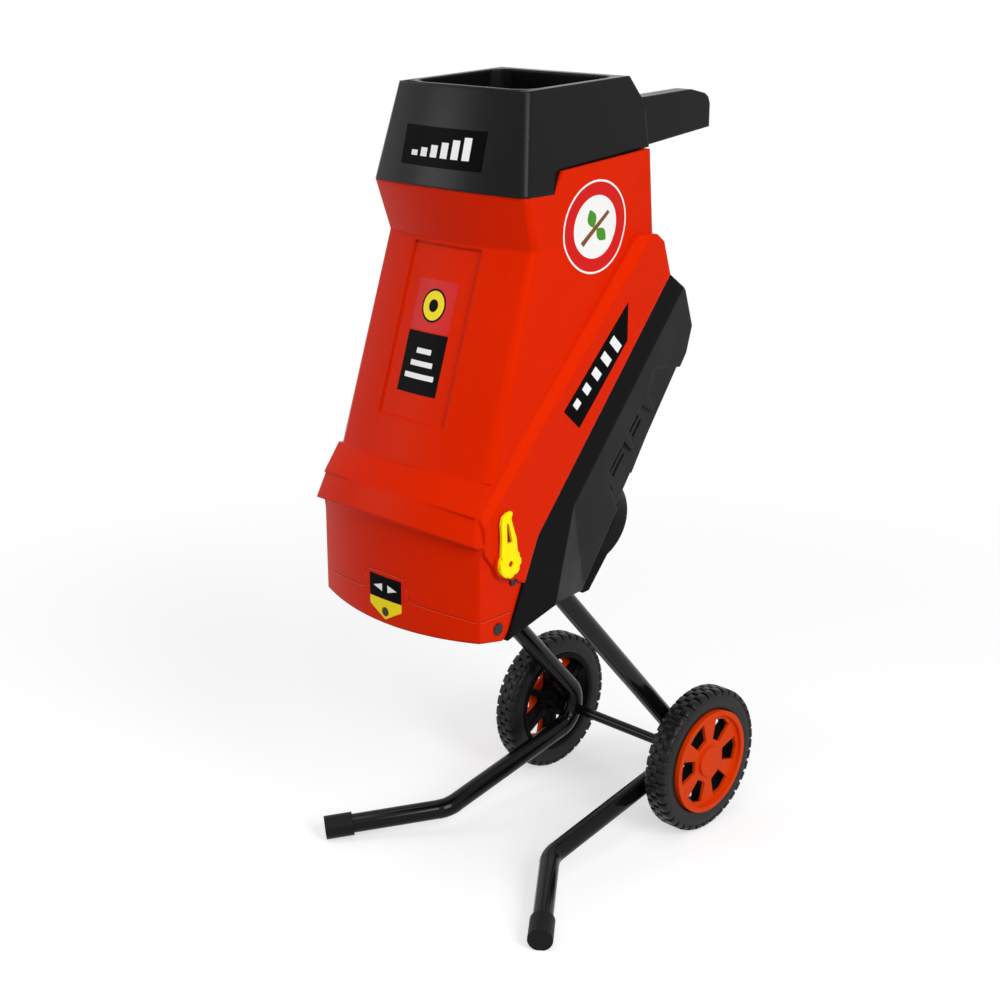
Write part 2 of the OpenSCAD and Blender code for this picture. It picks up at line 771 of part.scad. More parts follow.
module counter_knife() {
  color("silver") placed() sloping() difference() {
    box(-counter_half, counter_half, feed[1] - counter_w, feed[1], deck_z - counter_t, deck_z);
    both_sides() post(
      counter_bolt[0], counter_bolt[1], counter_bolt_r + fit, deck_z - counter_t - eps, counter_t + 2 * eps
    );
  }
}
module counter_screws() {
  color("dimgray") placed() sloping() both_sides() {
    post(counter_bolt[0], counter_bolt[1], counter_bolt_r, deck_z - counter_t, counter_t + deck_t);
    post(counter_bolt[0], counter_bolt[1], counter_head[0], deck_z + deck_t, counter_head[1]);
  }
}
module lock_insert() {
  color("goldenrod") placed() sloping() translate([0, lock_v, 0])
    ring(insert_r, lock_r + 0.1, joint_gap + 0.1, insert_len);
}
module safety_tongue() {
  color([0.9, 0.8, 0.1]) placed() sloping() {
    at_tongue() box_about(tongue, -tongue_reach, deck_z - tongue_seat_t);
    at_tongue() box_about(tongue_seat, deck_z - tongue_seat_t, deck_z);
  }
}
module discharge_liner() {
  inner = liner_half - wing_lap;
  color([0.12, 0.12, 0.13]) placed() difference() {
    union() {
      box(-inner, inner, liner_y, liner_y + liner_t, apron_z + 2, wing_z[1]);
      both_sides() {
        box(inner - eps, liner_half, liner_y, liner_y + liner_t, wing_z[0], wing_z[1]);
        box(liner_half - liner_t, liner_half, liner_y, side_screw[0] + 5, wing_z[0], wing_z[1]);
      }
    }
    rod_x(-far, far, screw_r + fit, side_screw[0], side_screw[1]);
    at_front_screw() post(0, 0, screw_r + fit, 0, far);
  }
}
module case_screws() {
  color([0.15, 0.15, 0.15]) placed() {
    at_front_screw() translate([0, 0, -screw_sink]) {
      post(0, 0, screw_r, head_t, front_screw[0] + liner_y + eps);
      post(0, 0, head_r, 0, head_t);
    }
    both_sides() {
      rod_x(liner_half - liner_t, apron_half, screw_r, side_screw[0], side_screw[1]);
      rod_x(apron_half, apron_half + side_head_t, head_r, side_screw[0], side_screw[1]);
    }
  }
}
// Lever outline and its window, as [across, share of the lever's length]
lever_outline = [
  [-12, 0], [-11, 0.55], [-12, 0.8], [-10, 0.92], [-5, 0.98], [2, 1], [3.5, 0.96], [1.5, 0.86], [4, 0.72],
  [9, 0.45], [12, 0]
];
lever_window = [[-4.5, 0.8], [-4, 0.4], [3.5, 0.4], [-1.5, 0.76]];
lever_blade_t = lever_t - 1.2;
lever_scallop = [lever_hub_r + 2, 3.5];
module side_lever() {
  color("gold") placed() translate([lever_seat_x + clear, -lever_reach, lever_z]) rotate([90, 0, 90])
    difference() {
      union() {
        cylinder(r = lever_hub_r, h = lever_t);
        linear_extrude(lever_blade_t) difference() {
          polygon([for (q = lever_outline) [q[0], q[1] * lever_len]]);
          polygon([for (q = lever_window) [q[0], q[1] * lever_len]]);
        }
      }
      for (a = [22.5 : 45 : 337.5]) rotate(a)
        post(lever_scallop[0], 0, lever_scallop[1], lever_blade_t, lever_t);
      post(0, 0, lever_pin_r + running, -eps, far);
    }
}

// Motor housing: its flanks lean in below a crease, more steeply towards the lower end
crease_knee_s = 268.5;
crease_drop = 5.8;
low_crease_turn = 25.5;
flank_slope = 0.31;
low_flank_slope = 0.43;
module flank_cut(d) {
  both_sides() intersection() {
    sloping() translate([side_half, 0, -crease]) rotate([0, atan(flank_slope), 0])
      box(-d, far, -far, far, -far, far);
    sloping() translate([side_half, spindle_s - crease_knee_s, -crease - crease_drop])
      rotate([low_crease_turn, 0, 0]) rotate([0, atan(low_flank_slope), 0])
        box(-d, far, -far, far, -far, far);
  }
}
// Corners below the joint's lower end, and of the nose above the back face
chin = [42, 75];
nose = [[-24, -19], [-36, -76]];
module housing_form(d) {
  outline = [
    joint_top, knee, joint_low, under_joint(joint_len + chin[0], chin[1]), under_joint(back_s[1], back_low),
    under_joint(back_s[0], back_top), under_joint(back_s[0] + nose[0][0], back_top + nose[0][1]),
    under_joint(back_s[0] + nose[1][0], back_top + nose[1][1])
  ];
  difference() {
    across(side_half - d) polygon(moved_sides(outline, [for (q = outline) d]));
    flank_cut(d);
  }
}
module bend_arc(turn, r) {
  rotate_extrude(angle = turn) translate([bend_r, 0]) circle(r + swell);
}
// Right leg's path as a solid of radius r, each piece in the frame of the one before it
module leg_path(r, extra) {
  n = leg_bend_n;
  a = leg_down;
  k = leg_bend_k;
  c = leg_bend_c;
  multmatrix([[n[0], a[0], k[0], c[0]], [n[1], a[1], k[1], c[1]], [n[2], a[2], k[2], c[2]], [0, 0, 0, 1]]) {
    translate([bend_r, lap, 0]) rotate([90, 0, 0]) cylinder(r = r, h = lap + upper_len + extra);
    bend_arc(leg_turn, r);
    rotate(leg_turn) translate([bend_r, 0, 0]) {
      translate([0, -lap, 0]) rotate([-90, 0, 0]) cylinder(r = r, h = middle_len + 2 * lap);
      translate([0, middle_len, 0]) rotate([0, foot_roll, 0]) translate([-bend_r, 0, 0]) {
        bend_arc(foot_turn, r);
        rotate(foot_turn) translate([bend_r, -lap, 0]) rotate([-90, 0, 0])
          cylinder(r = r, h = lap + foot_len - cap_end_t - clear + extra);
      }
    }
  }
}
module socket_rod(a, b, r) {
  both_sides() straight([leg_x, 0, 0] + leg_top + leg_down * a, [leg_x, 0, 0] + leg_top + leg_down * b, r);
}
leg_bolt_point = leg_top + leg_down * leg_bolt_at;
// Recess in each flank, open to the back, with three ribs and air slots between them.
// Points are [distance down the slope, depth below the joint].
vent_w = 82;
vent_depth = 4;
vent_pad = 4.5;
vent_outline = [[82, 57], [104, 68], [205, 70], [222, 170], [18, 170]];
vent_ribs = [
  [[104, 55], [122, 55], [112.5, 103], [107, 97]], [[152.6, 55], [163.6, 55], [161, 100], [156, 98]],
  [[200.6, 55], [207, 55], [207.3, 101], [203, 101]]
];
vent_slots = [[128, 148], [169, 196]];
vent_slot_z = [-12, 0];
vent_slot_h = 5;
vent_backing_s = [40, 226];
vent_backing_top = 30;
function on_flank(q) = [spindle_s - q[0], (vent_w - q[1]) * sqrt(1 + flank_slope * flank_slope)];
module at_flank() {
  both_sides() sloping() translate([side_half - flank_slope * (vent_w - crease), 0, -vent_w])
    rotate([0, atan(flank_slope), 0]) children();
}
module side_vents() {
  at_flank() {
    translate([-vent_depth, 0, 0]) rotate([90, 0, 90]) linear_extrude(far) difference() {
      polygon([for (q = vent_outline) on_flank(q)]);
      for (rib = vent_ribs) polygon([for (q = rib) on_flank(q)]);
    }
    for (q = vent_slots) for (z = vent_slot_z)
      box(-4 * housing_wall, eps, spindle_s - q[1], spindle_s - q[0], z, z + vent_slot_h);
  }
}
// Thicker wall behind the recess
module vent_backing() {
  at_flank() box(
    -housing_wall - vent_pad, far, spindle_s - vent_backing_s[1], spindle_s - vent_backing_s[0], -far,
    vent_backing_top
  );
}
floor_ledge = 6;
floor_post = [6, 26];
floor_hole = 18;
knob_seat = [bolt_guide_r + 4, 5];
lug_t = 9;
lug_root = [18, 12];
lug_x = apron_half - shell_wall - clear - lug_t;
socket_lap = 4;
cover_bore = 40;
module motor_housing() {
  color([0.11, 0.11, 0.12]) placed() difference() {
    union() {
      difference() {
        housing_form(0);
        difference() {
          housing_form(housing_wall);
          vent_backing();
        }
        sloping() box(
          -side_half + housing_wall, side_half - housing_wall, spindle_s - joint_len + housing_wall,
          spindle_s - housing_wall, -floor_ledge, far
        );
      }
      intersection() {
        housing_form(0);
        union() {
          socket_rod(-socket_lap, socket_len, socket_r);
          sloping() for (v = floor_screw_v) both_sides()
            post(floor_screw_x, v, floor_post[0], -floor_t - floor_post[1], floor_post[1]);
          sloping() post(0, lock_v, bolt_guide_r, -far, far - floor_t);
        }
      }
      sloping() post(0, lock_v, knob_seat[0], -back_depth(lock_s) - knob_seat[1], knob_seat[1] + eps);
      // Lugs of the hopper hinge
      both_sides() translate([lug_x, 0, 0]) rotate([90, 0, 90]) linear_extrude(lug_t) {
        translate(hinge) circle(lug_r);
        polygon([
          hinge + [0, lug_r], low_joint(hinge_z + lug_root[0]) + [eps, 0],
          low_joint(hinge_z - lug_root[1]) + [eps, 0], hinge + [0, -lug_r + 3]
        ]);
      }
    }
    socket_rod(0, far, tube_d / 2 + fit);
    both_sides() rod_x(
      leg_x - socket_r - eps, leg_x + socket_r + eps, leg_bolt_r + fit, leg_bolt_point[1], leg_bolt_point[2]
    );
    sloping() for (v = floor_screw_v) both_sides()
      post(floor_screw_x, v, screw_r + fit, -floor_t - floor_hole, floor_hole + eps);
    sloping() post(0, lock_v, lock_r + running, -far, 2 * far);
    rod_x(-far, far, hinge_d / 2 + fit, hinge[0], hinge[1]);
    on_back(motor_s) post(0, 0, dome_r - 2, -cover_bore / 2, cover_bore);
    on_back(motor_s) for (a = cover_screw_turns) rotate(a)
      post(cover_screw_r, 0, screw_r + fit, -cover_bore / 2, cover_bore);
    side_vents();
  }
}
module floor_bore(x, y, r) {
  post(x, y, r, -floor_t - eps, floor_t + 2 * eps);
}
module chamber_floor() {
  color("gray") placed() sloping() difference() {
    box(-floor_half, floor_half, floor_low_v, floor_top_v, -floor_t, 0);
    floor_bore(0, 0, spindle_hole_r);
    floor_bore(0, lock_v, lock_r + 1);
    for (v = floor_screw_v) both_sides() floor_bore(floor_screw_x, v, screw_r + fit);
    at_tongue() box_about(tongue_slot, -floor_t - eps, eps);
    for (q = case_screw_places) floor_bore(q[0], q[1], case_bolt_r + fit);
  }
}
module floor_screws() {
  color("silver") placed() sloping() for (v = floor_screw_v) both_sides() {
    post(floor_screw_x, v, screw_r, -floor_t - floor_hole + 2, floor_hole - 2 + floor_t);
    post(floor_screw_x, v, head_r, 0, head_t);
  }
}
module hinge_screws() {
  head_x = apron_half - hinge_sink + clear;
  color([0.15, 0.15, 0.16]) placed() both_sides() {
    rod_x(lug_x, head_x, hinge_d / 2, hinge[0], hinge[1]);
    rod_x(head_x, head_x + hinge_head[1], hinge_head[0], hinge[0], hinge[1]);
  }
}

// Gear case and motor
case_r = 42;
case_low_r = 28;
case_bolt_ring = case_r - 5;
case_bolt_turn = 35;
low_bolt = [20, motor_v - 14];
case_screw_places = [
  polar(case_bolt_ring, case_bolt_turn), polar(case_bolt_ring, 180 - case_bolt_turn), low_bolt,
  [-low_bolt[0], low_bolt[1]]
];
gear_room = 24;
tip_clear = 2;
gear_cover_bar = 16;
module case_outline() {
  circle(case_r);
  translate([0, motor_v]) circle(case_low_r);
  translate([-case_low_r, motor_v]) square([2 * case_low_r, -motor_v]);
}
module gear_case() {
  tip = gear_m * (gear_teeth / 2 + 1);
  pinion_tip = gear_m * (pinion_teeth / 2 + 1);
  color("lightgray") placed() sloping() difference() {
    translate([0, 0, case_low]) linear_extrude(-floor_t - case_low) case_outline();
    post(0, 0, front_bearing[0] + fit, -floor_t - front_bearing[1], front_bearing[1] + eps);
    post(0, 0, spindle_hole_r, case_low, -case_low);
    post(0, 0, tip + tip_clear, case_low - eps, gear_room + eps);
    post(0, motor_v, pinion_tip + tip_clear, case_low - eps, gear_room + eps);
    for (q = case_screw_places) post(q[0], q[1], case_bolt_r + fit, case_low - eps, far);
  }
}
module gear_cover() {
  color("darkgray") placed() sloping() difference() {
    union() {
      translate([0, 0, cover_low]) linear_extrude(cover_t) {
        case_outline();
        translate([-post_x, motor_v - gear_cover_bar / 2]) square([2 * post_x, gear_cover_bar]);
        for (x = [-post_x, post_x]) translate([x, motor_v]) circle(gear_cover_bar / 2);
      }
      for (x = [-post_x, post_x]) post(x, motor_v, post_r, stator_top, cover_low - stator_top);
    }
    post(0, 0, rear_bearing[0] + fit, rear_bearing_z, far);
    post(0, motor_v, motor_bearing[0] + fit, motor_bearing_z, far);
    post(0, motor_v, shaft_r + 3, cover_low - eps, far);
    for (x = [-post_x, post_x]) post(x, motor_v, bolt_r + fit, stator_top - eps, bolt_hole + eps);
    for (q = case_screw_places) post(q[0], q[1], case_bolt_r + fit, cover_low - eps, far);
  }
}
module case_bolts() {
  for (q = case_screw_places) {
    post(q[0], q[1], case_bolt_r, cover_low, -cover_low);
    post(q[0], q[1], case_bolt_head[0], cover_low - case_bolt_head[1], case_bolt_head[1]);
  }
}
module spindle_bearings() {
  color("silver") placed() sloping() {
    ring(front_bearing[0], spindle_r + running, -floor_t - front_bearing[1], front_bearing[1]);
    ring(rear_bearing[0], rear_seat_r + running, rear_bearing_z, rear_bearing[1]);
  }
}
module motor_bearings() {
  color("silver") placed() on_motor_axis() {
    ring(motor_bearing[0], shaft_r + running, motor_bearing_z, motor_bearing[1]);
    ring(tail_bearing[0], tail_r + running, tail_bearing_z, tail_bearing[1]);
  }
}
coil_half = 21.5;
coil_y = [28, 37];
coil_fit = 0.1;
coil_over = 10;
air_gap = 0.6;
module coil_pair(d, z0, z1) {
  for (k = [0, 180]) rotate(k) box(-coil_half - d, coil_half + d, coil_y[0] - d, coil_y[1] + d, z0, z1);
}
module stator_core() {
  color("slategray") placed() on_motor_axis() difference() {
    ring(stator_r, armature_r + air_gap, stator_low, stator_len);
    for (x = [-post_x, post_x]) post(x, 0, bolt_r + fit, stator_low - eps, stator_len + 2 * eps);
    coil_pair(coil_fit, stator_low - eps, stator_top + eps);
  }
}
module field_coils() {
  color("sienna") placed() on_motor_axis() coil_pair(0, stator_low - coil_over, stator_top + coil_over);
}
module end_shield() {
  color("gainsboro") placed() on_motor_axis() difference() {
    union() {
      box(-post_x - post_r, post_x + post_r, -shield_half, shield_half, shield_top - shield_t, shield_top);
      for (x = [-post_x, post_x]) post(x, 0, post_r, shield_top, stator_low - shield_top);
    }
    post(0, 0, tail_bearing[0] + fit, tail_bearing_z, far);
    post(0, 0, tail_r + 2, -far, 2 * far);
    for (x = [-post_x, post_x]) post(x, 0, bolt_r + fit, -far, 2 * far);
  }
}
module motor_bolts() {
  color("silver") placed() {
    on_motor_axis() for (x = [-post_x, post_x]) {
      post(x, 0, bolt_r, shield_top - shield_t, bolt_end - shield_top + shield_t);
      post(x, 0, head_r, shield_top - shield_t - bolt_head_t, bolt_head_t);
    }
    sloping() case_bolts();
  }
}
brush_half = 4;
brush_z = [shield_top + 7, shield_top + 15];
brush_len = 14;
brush_gap = 0.2;
holder_half = 7;
holder_h = 17;
holder_gap = 1.5;
module brush_holders() {
  color("peru") placed() on_motor_axis() for (k = [0, 180]) rotate(k) difference() {
    box(
      comm_r + holder_gap, post_x - post_r - eps, -holder_half, holder_half, shield_top, shield_top + holder_h
    );
    box(comm_r, post_x, -brush_half, brush_half, brush_z[0], brush_z[1]);
  }
}
module carbon_brushes() {
  half = brush_half - fit;
  color([0.2, 0.2, 0.2]) placed() on_motor_axis() for (k = [0, 180]) rotate(k)
    box(comm_r + brush_gap, comm_r + brush_len, -half, half, brush_z[0] + fit, brush_z[1] - fit);
}
// Round dome over the motor with a hood that runs down to the housing's lower end
hood_half = 50;
hood_end = 80;
hood_low_h = 48;
hood_drop = 3;
hood_edge = [6, 8];
dome_edge = [3, 6, 9];
cover_flange = 12;
flange_t = 4;
cover_screw_turns = [32, 148, 225, 315];
louvre_half = 30;
louvre_w = 5;
louvre_pitch = 9;
cover_screw_r = dome_r + cover_flange / 2;
// The flange is cut flat beside the switch box
flange_top = motor_s - box_s - box_len / 2 - 0.5;
module cover_form(d) {
  t = d > 0 ? -eps : 0;
  rotate_extrude() polygon([
    [0, t], [dome_r - d, t], [dome_r - d, 0.5 * dome_h - d],
    [dome_r - dome_edge[0] - d, dome_h - dome_edge[1] - d / 2], [dome_r - dome_edge[2] - d / 2, dome_h - d],
    [0, dome_h - d]
  ]);
  across(hood_half - d) polygon([
    [0, t], [hood_end - d, t], [hood_end - d, hood_low_h - hood_edge[1] - d / 2],
    [hood_end - hood_edge[0] - d / 2, hood_low_h - d], [0, dome_h - hood_drop - d]
  ]);
}
module motor_cover() {
  color([0.1, 0.1, 0.11]) placed() on_back(motor_s) difference() {
    union() {
      cover_form(0);
      difference() {
        cylinder(r = dome_r + cover_flange, h = flange_t);
        box(-far, far, -far, -flange_top, -eps, far);
      }
    }
    cover_form(housing_wall);
    for (a = cover_screw_turns) rotate(a) post(cover_screw_r, 0, screw_r + fit, -eps, flange_t + 2 * eps);
    for (i = [-3 : 1]) translate([0, louvre_pitch * i, 0])
      box_about([2 * louvre_half, louvre_w], dome_h - 3 * housing_wall, dome_h + eps);
  }
}
cover_screw_depth = 10;
module cover_screws() {
  color([0.2, 0.2, 0.2]) placed() on_back(motor_s) for (a = cover_screw_turns) rotate(a) {
    post(cover_screw_r, 0, screw_r, -cover_screw_depth, cover_screw_depth + flange_t);
    post(cover_screw_r, 0, head_r, flange_t, head_t);
  }
}

// Controls on the back of the housing
button_x = [-18, 6, 30];
reset_r = 5;
button_mid = 20;
button_r = button_d / 2;
inlet = [34, 24];
inlet_depth = 19;
inlet_wall = 3;
pin_y = 9;
pin_r = 2;
pin_x = 4;
module switch_box() {
  y = box_len / 2;
  color([0.13, 0.13, 0.14]) placed() on_back(box_s) difference() {
    box(-box_half, box_half, -y, y, 0, box_h);
    box(-box_half + box_wall, box_half - box_wall, -y + box_wall, y - box_wall, -eps, box_h - box_wall);
    translate([0, -y, button_mid]) rotate([-90, 0, 0]) {
      for (i = [0, 1]) post(button_x[i], 0, button_r + running, -eps, box_wall + 2 * eps);
      post(button_x[2], 0, reset_r + running, -eps, box_wall + 2 * eps);
    }
    box(-box_half - eps, -box_half + box_wall + eps, -inlet[0] / 2 - fit, inlet[0] / 2 + fit,
      button_mid - inlet[1] / 2 - fit, button_mid + inlet[1] / 2 + fit);
  }
}
module at_button(i) {
  placed() on_back(box_s) translate([button_x[i], -box_len / 2, button_mid]) children();
}
// The cap stands out of the box, and a collar behind the wall keeps it in
button_out = 4;
button_collar = 2;
module push_button(r) {
  rotate([-90, 0, 0]) {
    post(0, 0, r, -button_out, button_out + box_wall + 1 + button_travel);
    post(0, 0, r + button_collar, box_wall + clear, button_collar);
  }
}
module on_button() {
  color("green") at_button(0) push_button(button_r);
}
module off_button() {
  color("red") at_button(1) push_button(button_r);
}
module reset_button() {
  color([0.2, 0.2, 0.22]) at_button(2) push_button(reset_r);
}
switch_unit_x = [button_x[0] - button_r - 3, button_x[2] + reset_r + 4];
switch_unit_h = button_mid + 14;
module switch_unit() {
  y0 = -box_len / 2 + box_wall + 1 + 2 * button_travel + clear;
  color("lightgray") placed() on_back(box_s)
    box(switch_unit_x[0], switch_unit_x[1], y0, box_len / 2 - box_wall - 1, 0, switch_unit_h);
}
module power_inlet() {
  y = inlet[0] / 2;
  z = inlet[1] / 2;
  w = inlet_wall;
  color([0.08, 0.08, 0.08]) placed() on_back(box_s) translate([-box_half, 0, button_mid]) difference() {
    union() {
      box(-w, 0, -y - w, y + w, -z - w, z + w);
      box(-eps, inlet_depth, -y, y, -z, z);
    }
    box(-w - eps, inlet_depth - w, -y + w, y - w, -z + w, z - w);
    for (q = [-pin_y, pin_y]) rod_x(0, far, pin_r + fit, q, 0);
  }
}
module inlet_pins() {
  color("silver") placed() on_back(box_s) translate([-box_half, 0, button_mid])
    for (q = [-pin_y, pin_y]) rod_x(pin_x, inlet_depth, pin_r, q, 0);
}
knob_base = -back_depth(lock_s) - knob_seat[1] - clear;
knob_h = 22;
knob_scallop = [knob_d / 2 + 4, 7];
knob_end_t = 4;
bolt_seat_t = 6;
bolt_back = 0.8;
module lock_knob() {
  color([0.1, 0.1, 0.1]) placed() sloping() translate([0, lock_v, knob_base]) mirror([0, 0, 1]) difference() {
    cylinder(r = knob_d / 2, h = knob_h);
    for (a = [0 : 45 : 315]) rotate(a) post(knob_scallop[0], 0, knob_scallop[1], -eps, knob_h + 2 * eps);
    post(0, 0, lock_r + fit, -eps, knob_h - knob_end_t);
  }
}
module lock_bolt() {
  low = knob_base - knob_h + bolt_seat_t;
  color("silver") placed() sloping() post(0, lock_v, lock_r, low, -bolt_back - low);
}
safety_size = [28, 24];
safety_h = 32;
safety_depth = 20;
module safety_switch() {
  color([0.75, 0.1, 0.1]) placed() sloping() difference() {
    at_tongue() box_about(safety_size, -floor_t - safety_h, -floor_t);
    at_tongue() box_about(tongue_slot, -floor_t - safety_depth, 0);
  }
}

// Cutting rotor
nut_r = 7;
nut_size = [13, 10];
thread_len = 15;
washer = [15, 3];
disc_flange = [16, 6];
disc_seat_r = spindle_r - 0.5;
gear_seat_r = spindle_r - 1;
gear_seat_z = case_low + 2;
gear_seat_len = 22;
bearing_lap = 4;
knife_x = [26, 86];
knife_y = [-17, 21];
knife_slot = [[30, 84], [22, 34]];
knife_bolt_x = [40, 72];
knife_bolt_r = 3;
knife_head = [5.5, 3];
module spindle() {
  color("silver") placed() sloping() {
    post(0, 0, rear_seat_r, rear_bearing_z + seat_clear, rear_bearing[1] + bearing_lap - seat_clear);
    post(0, 0, gear_seat_r, gear_seat_z, gear_seat_len);
    post(0, 0, spindle_r, gear_seat_z + gear_seat_len, disc_z - disc_flange[1] - gear_seat_z - gear_seat_len);
    post(0, 0, disc_flange[0], disc_z - disc_flange[1], disc_flange[1]);
    post(0, 0, disc_seat_r, disc_z, disc_t);
    post(0, 0, nut_r, disc_z + disc_t, thread_len);
  }
}
module knife_disc() {
  color("darkgray") placed() sloping() difference() {
    post(0, 0, disc_d / 2, disc_z, disc_t);
    post(0, 0, disc_seat_r + fit, disc_z - eps, disc_t + 2 * eps);
    for (k = [0, 180]) rotate(k) {
      for (x = knife_bolt_x) post(x, 0, knife_bolt_r + fit, disc_z - eps, disc_t + 2 * eps);
      box(
        knife_slot[0][0], knife_slot[0][1], knife_slot[1][0], knife_slot[1][1], disc_z - eps, knife_z + eps
      );
    }
  }
}
module knives() {
  color("silver") placed() sloping() for (k = [0, 180]) rotate(k) difference() {
    box(knife_x[0], knife_x[1], knife_y[0], knife_y[1], knife_z, knife_z + knife_t);
    for (x = knife_bolt_x) post(x, 0, knife_bolt_r + fit, knife_z - eps, knife_t + 2 * eps);
  }
}
module knife_screws() {
  color("dimgray") placed() sloping() for (k = [0, 180]) rotate(k) for (x = knife_bolt_x) {
    post(x, 0, knife_bolt_r, disc_z, disc_t + knife_t);
    post(x, 0, knife_head[0], knife_z + knife_t, knife_head[1]);
  }
}
module disc_washer() {
  color("silver") placed() sloping() ring(washer[0], nut_r + fit, knife_z, washer[1]);
}
module disc_nut() {
  color("dimgray") placed() sloping() difference() {
    translate([0, 0, knife_z + washer[1]]) cylinder(r = nut_size[0], h = nut_size[1], $fn = 6);
    post(0, 0, nut_r + fit, knife_z, thread_len);
  }
}
module driven_gear() {
  color("silver") placed() sloping() difference() {
    translate([0, 0, gear_z]) linear_extrude(gear_face) polygon(gear_outline(gear_m, gear_teeth));
    post(0, 0, gear_seat_r + fit, gear_z - eps, gear_face + 2 * eps);
  }
}

// Motor rotor
pinion_z = gear_z - 2;
pinion_face = gear_face + 4;
core_inset = 2;
core_slot_r = 1.4;
winding_r = 20;
winding_len = 9;
fan_hub_r = 11;
fan_plate_t = 2.5;
fan_blade_t = 2;
module armature_shaft() {
  color("silver") placed() on_motor_axis() {
    rotate(180 / pinion_teeth) translate([0, 0, pinion_z]) linear_extrude(pinion_face)
      polygon(gear_outline(gear_m, pinion_teeth));
    post(0, 0, shaft_r, shield_top - eps, pinion_z - shield_top + eps);
    post(0, 0, tail_r, tail_bearing_z - eps, tail_bearing[1] + 2 * eps);
  }
}
module armature_core() {
  color("slategray") placed() on_motor_axis() difference() {
    ring(armature_r, shaft_r + fit, stator_low + core_inset, stator_len - 2 * core_inset);
    for (a = [0 : 30 : 330]) rotate(a) post(armature_r - 1, 0, core_slot_r, stator_low, stator_len);
  }
}
module armature_windings() {
  color("sienna") placed() on_motor_axis() {
    ring(winding_r, shaft_r + fit, stator_top - core_inset, winding_len);
    ring(winding_r, shaft_r + fit, stator_low + core_inset - winding_len, winding_len);
  }
}
module commutator() {
  color("peru") placed() on_motor_axis() ring(comm_r, shaft_r + fit, comm_z, comm_len);
}
module cooling_fan() {
  color("ivory") placed() on_motor_axis() {
    ring(fan_r, shaft_r + fit, fan_z, fan_plate_t);
    ring(fan_hub_r, shaft_r + fit, fan_z, fan_t);
    for (a = [0 : 36 : 324]) rotate(a)
      box(fan_hub_r - 0.5, fan_r - 1, -fan_blade_t / 2, fan_blade_t / 2, fan_z, fan_z + fan_t);
  }
}

// Stand and wheels
module leg() {
  color([0.07, 0.07, 0.08]) placed() difference() {
    leg_path(tube_d / 2, 0);
    leg_path(tube_d / 2 - tube_wall, 2 * eps);
    rod_x(0, far, axle_d / 2 + fit, 0, axle_z);
    rod_x(0, far, leg_bolt_r + fit, leg_bolt_point[1], leg_bolt_point[2]);
  }
}
module left_leg() {
  mirror([1, 0, 0]) leg();
}
module right_leg() {
  leg();
}
module foot_caps() {
  color([0.05, 0.05, 0.05]) placed() both_sides() difference() {
    straight(foot_to - foot_out * foot_cap_len, foot_to, foot_cap_d / 2);
    straight(foot_to - foot_out * (foot_cap_len + eps), foot_to - foot_out * cap_end_t, tube_d / 2 + fit);
    box(-far, far, -far, far, -far, 0);
  }
}
leg_bolt_head = [5, 4];
module leg_bolts() {
  head_x = leg_x - socket_r - 2;
  color("silver") placed() both_sides() {
    rod_x(head_x, leg_x + socket_r + 1, leg_bolt_r, leg_bolt_point[1], leg_bolt_point[2]);
    rod_x(head_x - leg_bolt_head[1], head_x, leg_bolt_head[0], leg_bolt_point[1], leg_bolt_point[2]);
  }
}
axle_half = hub_out_x + clear + clip_t - 0.2;
module axle() {
  color([0.1, 0.1, 0.1]) placed() rod_x(-axle_half, axle_half, axle_d / 2, 0, axle_z);
}
module axle_sleeves() {
  color([0.1, 0.1, 0.1]) placed() both_sides() difference() {
    rod_x(hub_in_x - clear - sleeve_len, hub_in_x - clear, sleeve_r, 0, axle_z);
    rod_x(0, far, axle_d / 2 + fit, 0, axle_z);
  }
}
module axle_clips() {
  color("silver") placed() both_sides() difference() {
    rod_x(hub_out_x + clear, hub_out_x + clear + clip_t, sleeve_r, 0, axle_z);
    rod_x(0, far, axle_d / 2 + fit, 0, axle_z);
  }
}
// Wheel frame: z runs outwards from the machine's middle
module wheel_frame(side) {
  translate([0, 0, axle_z]) rotate([0, 90 * side, 0]) children();
}
bead = 3;
shoulder = 6;
module tyre(side) {
  r = tyre_d / 2;
  w = tyre_w;
  color([0.06, 0.06, 0.06]) placed() wheel_frame(side) translate([0, 0, tyre_x]) rotate_extrude() polygon([
    [rim_r, 0.1 * w], [rim_r + bead, 0], [r - shoulder, 0], [r - 1, 0.12 * w], [r, 0.25 * w], [r, 0.75 * w],
    [r - 1, 0.88 * w], [r - shoulder, w], [rim_r + bead, w], [rim_r, 0.9 * w]
  ]);
}
window_r = [0.42 * rim_r, 0.8 * rim_r];
window_turn = 17;
rim_t = 6;
spoke = [8, 16];
module rim(side) {
  color([0.1, 0.1, 0.1]) placed() wheel_frame(side) {
    ring(rim_r - fit, rim_r - rim_t, tyre_x + 1, cap_back_x - tyre_x - 1);
    ring(hub_r, wheel_bore_r, hub_in_x, hub_out_x - hub_in_x);
    for (i = [0 : spoke_count - 1]) rotate(360 / spoke_count * i)
      box(hub_r - eps, rim_r - rim_t + eps, -spoke[0] / 2, spoke[0] / 2, cap_back_x - spoke[1], cap_back_x);
  }
}
cap_web = 4;
cap_ring = 8.6;
cap_r = rim_r - 1;
cap_rim_w = 6;
module hub_cap(side) {
  color("orangered") placed() wheel_frame(side) difference() {
    union() {
      ring(cap_r, hub_r - 5, cap_back_x, cap_web);
      ring(cap_r, cap_r - cap_rim_w, cap_back_x, cap_ring);
      post(0, 0, hub_r + 2, cap_back_x, cap_web + 3);
    }
    post(0, 0, sleeve_r + 1.5, cap_back_x - eps, eps + 1);
    for (i = [0 : spoke_count - 1]) rotate(360 / spoke_count * (i + 0.5)) window();
  }
}
